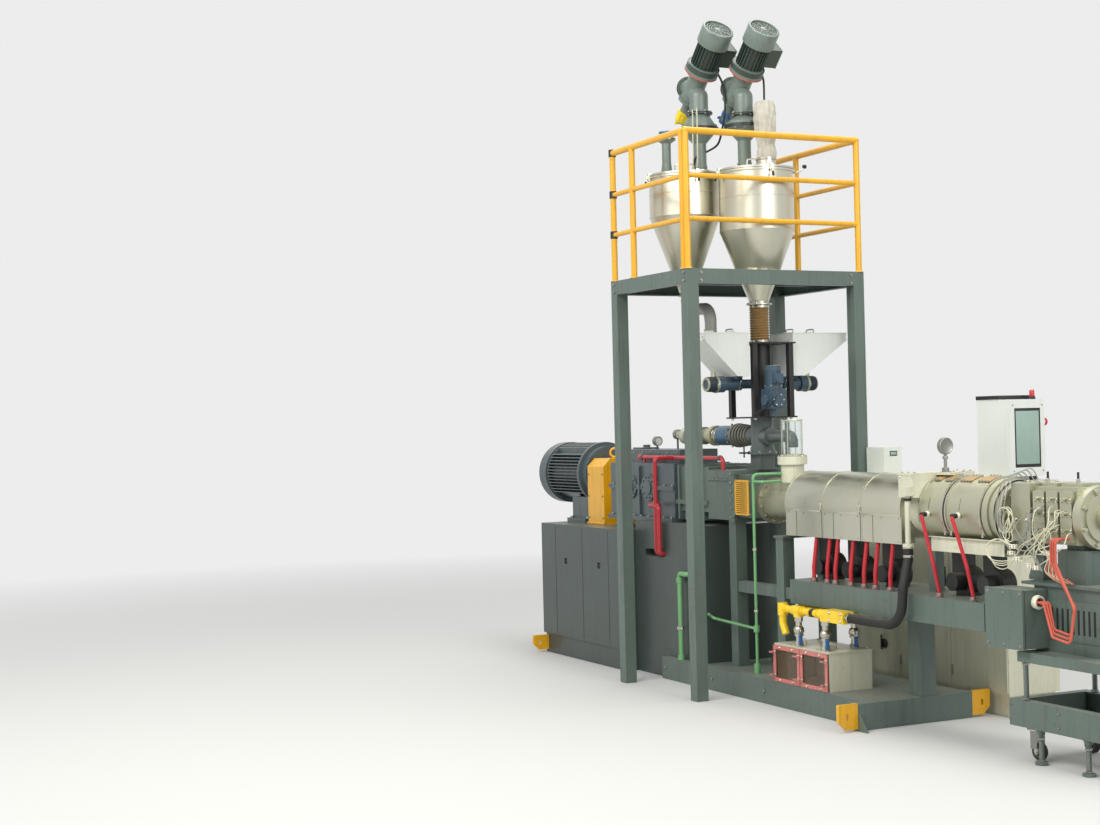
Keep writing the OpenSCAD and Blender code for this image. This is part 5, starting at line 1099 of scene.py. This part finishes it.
class EXTRUDER_OT_die_wires(bpy.types.Operator):
    """Runs the heater and sensor wires round the adapter and the die"""

    bl_idname = "extruder.die_wires"
    bl_label = "Die wires"

    def execute(self, context):
        pale, grey, orange, blocks, screws, dark = fresh(6)
        die_y, cap_z = -142, 1366
        pick = random.Random(11)
        ends = [(2384, -206, 1050), (2420, -212, 990), (2492, -204, 962),
                (2545, -206, 955), (2602, -198, 1030), (2350, -190, 1015)]
        for x, y, z in ends:
            box_in(blocks, (x - 21, y - 11, z - 11), (x + 21, y + 11, z + 11), 2.5)
            for hole in (-11, 11):
                for height in (-5, 5):
                    revolve_in(dark, [(0, 0.2), (3.4, 0.2), (3.4, 0.9), (0, 0.9)],
                               facing((x + hole, y - 11, z + height), AISLE), 12)
        for number in range(22):
            x = (2470, 2560, 2650)[number % 3] + pick.uniform(-46, 70)
            z = pick.choice((1135, 1178, 1222, 1240)) + pick.uniform(-14, 14)
            end = ends[number % len(ends)]
            wire = pale if number % 3 else grey
            sag = pick.uniform(30, 110)
            tube_in(wire, [(x, -146, z), (x + pick.uniform(-14, 14), -176, z - 8),
                           (x + pick.uniform(-40, 30), -200 - pick.uniform(0, 18), z - sag),
                           ((x + end[0]) / 2 + pick.uniform(-40, 40), -206 - pick.uniform(0, 20),
                            (z + end[2]) / 2 - sag * 0.6),
                           (end[0] + 38, end[1] - pick.uniform(0, 6), end[2] - 8),
                           (end[0] + 18, end[1], end[2])], 2.6, 6, 5)
        coil = facing((2308, -158, 1178), AISLE)
        for number in range(5):
            size = 36 + 5 * number + pick.uniform(-4, 4)
            lean = pick.uniform(-0.35, 0.35)
            points = []
            for step in range(14):
                turn = 2 * math.pi * step / 13 + number
                points.append(coil @ Vector((size * math.cos(turn) * (1 + 0.2 * lean),
                                             size * 1.2 * math.sin(turn),
                                             10 + 5 * number + size * lean * math.sin(turn))))
            tube_in(pale, points, 2.6, 6, 2)
        for number in range(4):
            start = coil @ Vector((30 - 9 * number, 44 + 6 * number, 20))
            tube_in(pale, [start, (2300 + 22 * number, -196, 1120 - 12 * number),
                           (2330 + pick.uniform(-14, 14), -206, 1080),
                           (2362, -204, 1058 - 5 * number)], 2.6, 6, 6)
        for number in range(4):
            drop = 986 - 11 * number - pick.uniform(0, 9)
            tube_in(pale, [(2366, -204, 1050), (2290 - 9 * number, -210, 1082),
                           (2216 - 8 * number, -214, 1062 - 5 * number),
                           (2188 + 5 * number, -216, 1018),
                           (2232 + 12 * number, -222, drop),
                           (2320 + 7 * number, -220, drop - 6),
                           (2398, -214, 992)], 2.6, 6, 6)
        for number in range(4):
            x = 2262 + 20 * number
            tube_in(grey, [(x + 60, -60 + 12 * number, 1366),
                           (x + 30, -90 + 10 * number, 1408 + 9 * number),
                           (x - 6, -150, 1372), (x - 20, -188, 1250),
                           (x - 8, -200, 1120), (2350, -190, 1022)], 3, 6, 6)
        for number in range(8):
            x = 2620 + 14 * number
            tube_in(orange if number % 2 else pale,
                    [(2602, -198, 1030), (2630 + 6 * number, -210, 1000),
                     (x, -222, 950 - 6 * number), (x + 30, -206, 912),
                     (x + 20, -150, 886), (x, -128, 880)], 2.8, 6, 5)
        for number in range(9):
            x = 2470 + 31 * number
            for z in (1140, 1220, 1290):
                head_in(screws, (x, die_y, z), AISLE, 5.5, 5)
                bar_in(screws, (x + 9, die_y, z - 14), (x + 9, die_y - 14, z - 14), 3.4, 10)
        for x in (2480, 2690):
            bar_in(dark, (x, -60, cap_z), (x, -60, cap_z + 54), 6, 12)
            bar_in(screws, (x, -60, cap_z), (x, -60, cap_z + 20), 10, 12)
        piece("pale_wires", pale, "pale line")
        piece("grey_wires", grey, "grey plastic")
        piece("orange_wires", orange, "orange line")
        piece("ceramic_terminal_blocks", blocks, "ceramic")
        piece("terminal_holes_and_probes", dark, "rubber")
        piece("die_screws", screws, "nickel")
        return {"FINISHED"}


class EXTRUDER_OT_vacuum_parts(bpy.types.Operator):
    """Adds window seals, nuts, clamps and lever sleeves to the vacuum set"""

    bl_idname = "extruder.vacuum_parts"
    bl_label = "Vacuum parts"

    def execute(self, context):
        metal_bits, dark, sleeves, yellow = fresh(4)
        front_y, lid_top, pipe_z = -339, 373, 580
        for left in (400, 678):
            for low, high in (((left + 22, -333, 169), (left + 27, -330.6, 341)),
                              ((left + 245, -333, 169), (left + 250, -330.6, 341)),
                              ((left + 22, -333, 169), (left + 250, -330.6, 174)),
                              ((left + 22, -333, 336), (left + 250, -330.6, 341))):
                box_in(dark, low, high, 0.8)
            heads_in(metal_bits, ((left + 70, left + 202), front_y, (158, 352)), AISLE, 6.5, 8)
            heads_in(metal_bits, ((left + 14, left + 258), front_y, (187, 323)), AISLE, 9, 7)
        for x, y in ((597, -285), (865, -285), (865, -83)):
            base = at(x, y, lid_top)
            for low in (2, 60, 172):
                ring_in(metal_bits, base, 20, 28, low, low + 7, 24)
            box_in(sleeves, (x + 36, y - 30, 381), (x + 48, y - 6, 446), 3)
            head_in(metal_bits, (x + 46, y - 18, 465), AHEAD, 8, 8)
        for x in (470, 545, 650, 720, 800, 920):
            ring_in(yellow, facing((x, -285, pipe_z), AHEAD), 22, 27, -6, 6, 32)
        for x in (520, 700, 820):
            ring_in(yellow, facing((x, -180, pipe_z), AHEAD), 19, 24, -6, 6, 32)
        ring_in(dark, facing((750, -285, pipe_z), AHEAD), 22.2, 25, -16, 16, 32)
        hose = facing((1090, -285, pipe_z), AHEAD)
        ring_in(metal_bits, hose, 26.5, 30.5, 12, 26, 32)
        bar_in(metal_bits, (1104, -322, 588), (1124, -316, 588), 5, 10)
        heads_in(metal_bits, ((960, 1070), -323, (560, 602)), AISLE, 7, 7)
        upper = facing(VENT_HOSE, UP)
        ring_in(metal_bits, upper, 26.5, 30.5, 948, 962, 32)
        heads_in(metal_bits, ((430, 540, 810, 920), (-310, -36), lid_top), UP, 6, 8)
        pipe = at(-705, -332, 0)
        hex_in(metal_bits, pipe @ at(0, 0, 340), 24, 26, 0)
        thin = at(85, -250, 0)
        for low in (520, 900):
            hex_in(metal_bits, thin @ at(0, 0, low), 13, 18, 0)
        piece("vacuum_nuts_and_clamps", metal_bits, "nickel")
        piece("window_seals_and_hose_joint", dark, "rubber")
        piece("valve_lever_sleeves", sleeves, "blue plastic")
        piece("manifold_sockets", yellow, "manifold")
        return {"FINISHED"}


class EXTRUDER_OT_base_parts(bpy.types.Operator):
    """Adds bolts, handles, seals and switches to the frames, the cabinet and the panel"""

    bl_idname = "extruder.base_parts"
    bl_label = "Base parts"

    def execute(self, context):
        bolts, black, ivory, glass, red, frames, frame_gap = fresh(7)
        for x in (2290, 2406, 2524):
            for z in (575, 830):
                revolve_in(bolts, [(0, 0), (8, 0), (7, 3), (0, 4.5)],
                           facing((x, -300.2, z), AISLE), 16)
        box_in(frame_gap, (2270.4, -286, 560), (2542.6, -283, 846), 0.8)
        gland = facing((2545, -215, 788), AHEAD)
        ring_in(ivory, gland, 26, 33, 0, 9, 32, 2)
        revolve_in(ivory, [(24, 8), (36, 8), (36, 24), (32, 30), (24, 30)], gland, 8)
        for x in (2468, 3025):
            for y in (-222, 222):
                heads_in(bolts, (x, y, (300, 470)), UP, 19, 15, 0)
                thread_in(bolts, x, y, 320, 468)
        for x in (2565, 2885):
            for y in (-222, 222):
                head_in(bolts, (x, y, 118), UP, 18, 14, 0)
                head_in(bolts, (x, y, 12), UP, 17, 12, 0)
                thread_in(bolts, x, y, 30, 112)
        heads_in(bolts, ((2380, 2720, 3060), -250, (200, 270)), AISLE, 6, 6)
        heads_in(bolts, ((2500, 2700, 2920), -130, 842), AISLE, 6, 6)
        box_in(frames, (2520, -134, 600), (2900, -129, 800), 3)
        for number in range(9):
            box_in(frame_gap, (2560 + 36 * number, -135, 640),
                   (2574 + 36 * number, -133.2, 760), 0.6)
        for x in (-900, -300, 300, 1290):
            for side in (-1, 1):
                head_in(bolts, (x, side * 345, 72), (0, side, 0), 9, 9)
        beam_rows = (DECK - 75, DECK - 25)
        for x in (-910, 0):
            for side in (-1, 1):
                heads_in(bolts, (x, side * 659, beam_rows), (0, side, 0), 9, 9)
        heads_in(bolts, (40, (-560, 560), beam_rows), AHEAD, 9, 9)
        corner = [(1362, -430, 0), (1440, -430, 0), (1362, -430, 96)]
        front = [frames.verts.new(point) for point in corner]
        back = [frames.verts.new((x, y + 12, z)) for x, y, z in corner]
        frames.faces.new(front)
        frames.faces.new(list(reversed(back)))
        for k in range(3):
            frames.faces.new((front[k], back[k], back[(k + 1) % 3], front[(k + 1) % 3]))
        door_y = 498
        for door in range(3):
            x = 46 + door * 484.7
            box_in(black, (x + 428, door_y - 12, 690), (x + 452, door_y + 2, 820), 4)
            revolve_in(bolts, [(0, 0), (11, 0), (11, 5), (0, 6)],
                       facing((x + 440, door_y - 12, 800), AISLE), 20)
            for z in (220, 730, 1240):
                bar_in(bolts, (x + 10, 495, z - 28), (x + 10, 495, z + 28), 6, 14)
            box_in(frame_gap, (x + 40, 498.4, 1190), (x + 380, 499.8, 1194), 0.4)
        knob = facing((379, 500, 305), AISLE)
        revolve_in(black, [(0, 0), (28, 0), (28, 10), (16, 14), (0, 14)], knob, 28)
        box_in(black, (365, 474, 268), (377, 486, 360), 4)
        for low, high in ((1331.5, 1354), (1793, 1816.5)):
            box_in(black, (1220, 555, low), (1417, 825, high), 3)
        box_in(black, (1488.6, 598, 1403), (1492, 792, 1744), 1)
        box_in(glass, (1491.6, 612, 1424), (1493, 780, 1726), 0.4)
        for y in (588, 803):
            for z in (1385, 1760):
                revolve_in(bolts, [(0, 0), (5, 0), (4, 2), (0, 3)],
                           facing((1495, y, z), AHEAD), 14)
        revolve_in(red, [(0, 24), (21, 24), (24, 30), (22, 40), (12, 45),
                         (0, 46)], facing((1455, 820, 1662), FAR), 28)
        beacon = at(1452, 770, 1792)
        revolve_in(black, [(0, 0), (20, 0), (20, 12), (12, 18), (0, 18)], beacon, 24)
        revolve_in(red, [(0, 18), (14, 18), (15, 44), (11, 54), (0, 56)], beacon, 24)
        box_in(black, (228.8, 686, 1462), (231.4, 744, 1494), 0.8)
        box_in(glass, (231, 692, 1468), (232, 738, 1488), 0.3)
        box_in(ivory, (46, 636, 1330), (234, 784, 1342), 4)
        tube_in(black, [(60, 660, 1338), (30, 640, 1345), (-10, 620, 1338),
                        (-20, 600, 1300), (44, 560, 1260)], 5, 8, 6)
        for number in range(4):
            head_in(black, (1300 + 40 * number, 700, 1330), UP, 12, 1.2, 0)
        piece("frame_bolts_and_threads", bolts, "zinc")
        piece("black_handles_and_caps", black, "black plastic")
        piece("ivory_gland_and_plinth", ivory, "ivory")
        piece("screens", glass, "screen")
        piece("stop_knob_and_lamp", red, "red plastic")
        piece("console_cover_and_foot_plate", frames, "structure")
        piece("panel_gaps_and_slots", frame_gap, "rubber")
        for number in range(4):
            x = 2470 if number < 2 else 2980
            y = -170 if number % 2 == 0 else 170
            pins, caps = bmesh.new(), bmesh.new()
            for side in (-1, 1):
                head_in(pins, (x + 26, y + side * 26, 48), (0, side, 0), 9, 6)
            ring_in(pins, at(x, y, 0), 24, 36, 148, 155.5, 28)
            piece("caster_nuts_%d" % (number + 1), pins, "nickel", "fork_%d" % (number + 1))
            for side in (-1, 1):
                hub = facing((x + 26, y + side * 15, 48), (0, side, 0))
                ring_in(caps, hub, 6.5, 14, -0.4, 2.2, 24, 0.6)
                ring_in(caps, hub, 24, 27, -2.6, 0.2, 32, 0.6)
            piece("caster_hub_rings_%d" % (number + 1), caps, "zinc", "wheel_%d" % (number + 1))
        return {"FINISHED"}


def seen_ray(tree):
    """One for rays that the camera, a reflection or a clear pane sends out."""
    path = tree.nodes.new("ShaderNodeLightPath")
    both = sums(tree, "ADD", path.outputs["Is Camera Ray"], path.outputs["Is Glossy Ray"])
    return sums(tree, "MINIMUM", sums(tree, "ADD", both, path.outputs["Is Transmission Ray"]), 1.0)


def lamp(name, place, aim, size, power, color=(1.0, 1.0, 1.0)):
    data = bpy.data.lights.new(name, "AREA")
    data.shape = "RECTANGLE"
    data.size, data.size_y = size
    data.energy = power
    data.color = color
    holder = bpy.data.objects.new(name, data)
    bpy.context.scene.collection.objects.link(holder)
    holder.location = place
    holder.rotation_euler = (Vector(aim) - Vector(place)).to_track_quat("-Z", "Y").to_euler()
    return holder


class EXTRUDER_OT_stage(bpy.types.Operator):
    """Sets up the camera, the plain floor and the soft lamps"""

    bl_idname = "extruder.stage"
    bl_label = "Stage"

    def execute(self, context):
        scene = context.scene
        settings = scene.extruder_stage
        yaw, pitch, roll = 0.4522, 0.0076, -0.0238
        forward = Vector((-math.cos(yaw) * math.cos(pitch), math.sin(yaw) * math.cos(pitch),
                          math.sin(pitch)))
        level = forward.cross(Vector((0, 0, 1))).normalized()
        upright = level.cross(forward)
        right = math.cos(roll) * level + math.sin(roll) * upright
        above = -math.sin(roll) * level + math.cos(roll) * upright
        data = bpy.data.cameras.new("Aisle camera")
        data.lens = 55.43
        data.sensor_width = 36.0
        data.clip_end = 200.0
        camera = bpy.data.objects.new("Aisle camera", data)
        scene.collection.objects.link(camera)
        camera.matrix_world = Matrix.Translation((8.967, -5.949, 1.7076)) @ Matrix(
            (right, above, -forward)).transposed().to_4x4()
        scene.camera = camera
        scene.view_settings.view_transform = "Standard"

        bm = bmesh.new()
        bmesh.ops.create_grid(bm, x_segments=1, y_segments=1, size=60.0)
        mesh = bpy.data.meshes.new("Floor")
        bm.to_mesh(mesh)
        bm.free()
        floor = bpy.data.objects.new("Floor", mesh)
        scene.collection.objects.link(floor)
        floor.location.z = -0.002
        material, tree, shader = new_material("Pale floor")
        preset(shader, {"Base Color": tuple(settings.floor), "Roughness": 0.75,
                        "Specular IOR Level": 0.15})
        pale = tuple(settings.backdrop)
        glow = tree.nodes.new("ShaderNodeEmission")
        glow.inputs["Color"].default_value = pale
        distance = tree.nodes.new("ShaderNodeVectorMath")
        distance.operation = "LENGTH"
        tree.links.new(object_point(tree), distance.inputs[0])
        far = ramp(tree, sums(tree, "DIVIDE", distance.outputs["Value"], 20.0), 0.20, 0.62)
        fade = tree.nodes.new("ShaderNodeMixShader")
        tree.links.new(sums(tree, "MULTIPLY", seen_ray(tree), far), fade.inputs["Fac"])
        tree.links.new(shader.outputs["BSDF"], fade.inputs[1])
        tree.links.new(glow.outputs["Emission"], fade.inputs[2])
        tree.links.new(fade.outputs["Shader"], tree.nodes["Material Output"].inputs["Surface"])
        mesh.materials.append(material)

        world = bpy.data.worlds.new("Studio")
        world.use_nodes = True
        scene.world = world
        tree = world.node_tree
        light = tree.nodes["Background"]
        preset(light, {"Color": (0.86, 0.87, 0.88, 1.0), "Strength": 0.62})
        sky = tree.nodes.new("ShaderNodeBackground")
        preset(sky, {"Color": pale, "Strength": 1.0})
        either = tree.nodes.new("ShaderNodeMixShader")
        tree.links.new(seen_ray(tree), either.inputs["Fac"])
        tree.links.new(light.outputs["Background"], either.inputs[1])
        tree.links.new(sky.outputs["Background"], either.inputs[2])
        tree.links.new(either.outputs["Shader"], tree.nodes["World Output"].inputs["Surface"])
        top = settings.lamp_height
        lamp("Key lamp", (2.6, -7.0, top - 0.5), (-0.2, 0.0, 1.4), (7.0, 4.0), settings.key_power,
             (1.0, 0.97, 0.92))
        lamp("Front lamp", (8.5, 0.5, top - 2.5), (0.5, 0.0, 1.3), (4.0, 4.0), settings.fill_power,
             (1.0, 0.98, 0.95))
        lamp("Ceiling lamp", (-0.5, 1.0, top + 1.5), (-0.3, 0.0, 0.0), (8.0, 5.0),
             settings.key_power * 0.7, (1.0, 0.98, 0.96))
        return {"FINISHED"}


CLASSES = (ExtruderFinishes, StageSettings, EXTRUDER_OT_stage, EXTRUDER_OT_finishes,
           EXTRUDER_OT_loader_parts, EXTRUDER_OT_hopper_parts, EXTRUDER_OT_filter_bag,
           EXTRUDER_OT_feeder_parts, EXTRUDER_OT_drive_parts, EXTRUDER_OT_barrel_parts,
           EXTRUDER_OT_die_wires, EXTRUDER_OT_vacuum_parts, EXTRUDER_OT_base_parts)


class EXTRUDER_PT_sidebar(bpy.types.Panel):
    """Lists the extruder's steps"""

    bl_idname = "EXTRUDER_PT_sidebar"
    bl_label = "Extruder"
    bl_space_type = "VIEW_3D"
    bl_region_type = "UI"
    bl_category = "Extruder"

    def draw(self, context):
        for kind in CLASSES:
            if issubclass(kind, bpy.types.Operator):
                self.layout.operator(kind.bl_idname)


def register():
    for kind in CLASSES + (EXTRUDER_PT_sidebar,):
        bpy.utils.register_class(kind)
    bpy.types.Scene.extruder_finishes = bpy.props.PointerProperty(type=ExtruderFinishes)
    bpy.types.Scene.extruder_stage = bpy.props.PointerProperty(type=StageSettings)


def unregister():
    del bpy.types.Scene.extruder_finishes
    del bpy.types.Scene.extruder_stage
    for kind in reversed(CLASSES + (EXTRUDER_PT_sidebar,)):
        bpy.utils.unregister_class(kind)


def main():
    """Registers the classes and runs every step."""
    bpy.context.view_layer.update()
    register()
    for kind in CLASSES:
        if issubclass(kind, bpy.types.Operator):
            group, name = kind.bl_idname.split(".")
            getattr(getattr(bpy.ops, group), name)()


if __name__ == "__main__":
    main()
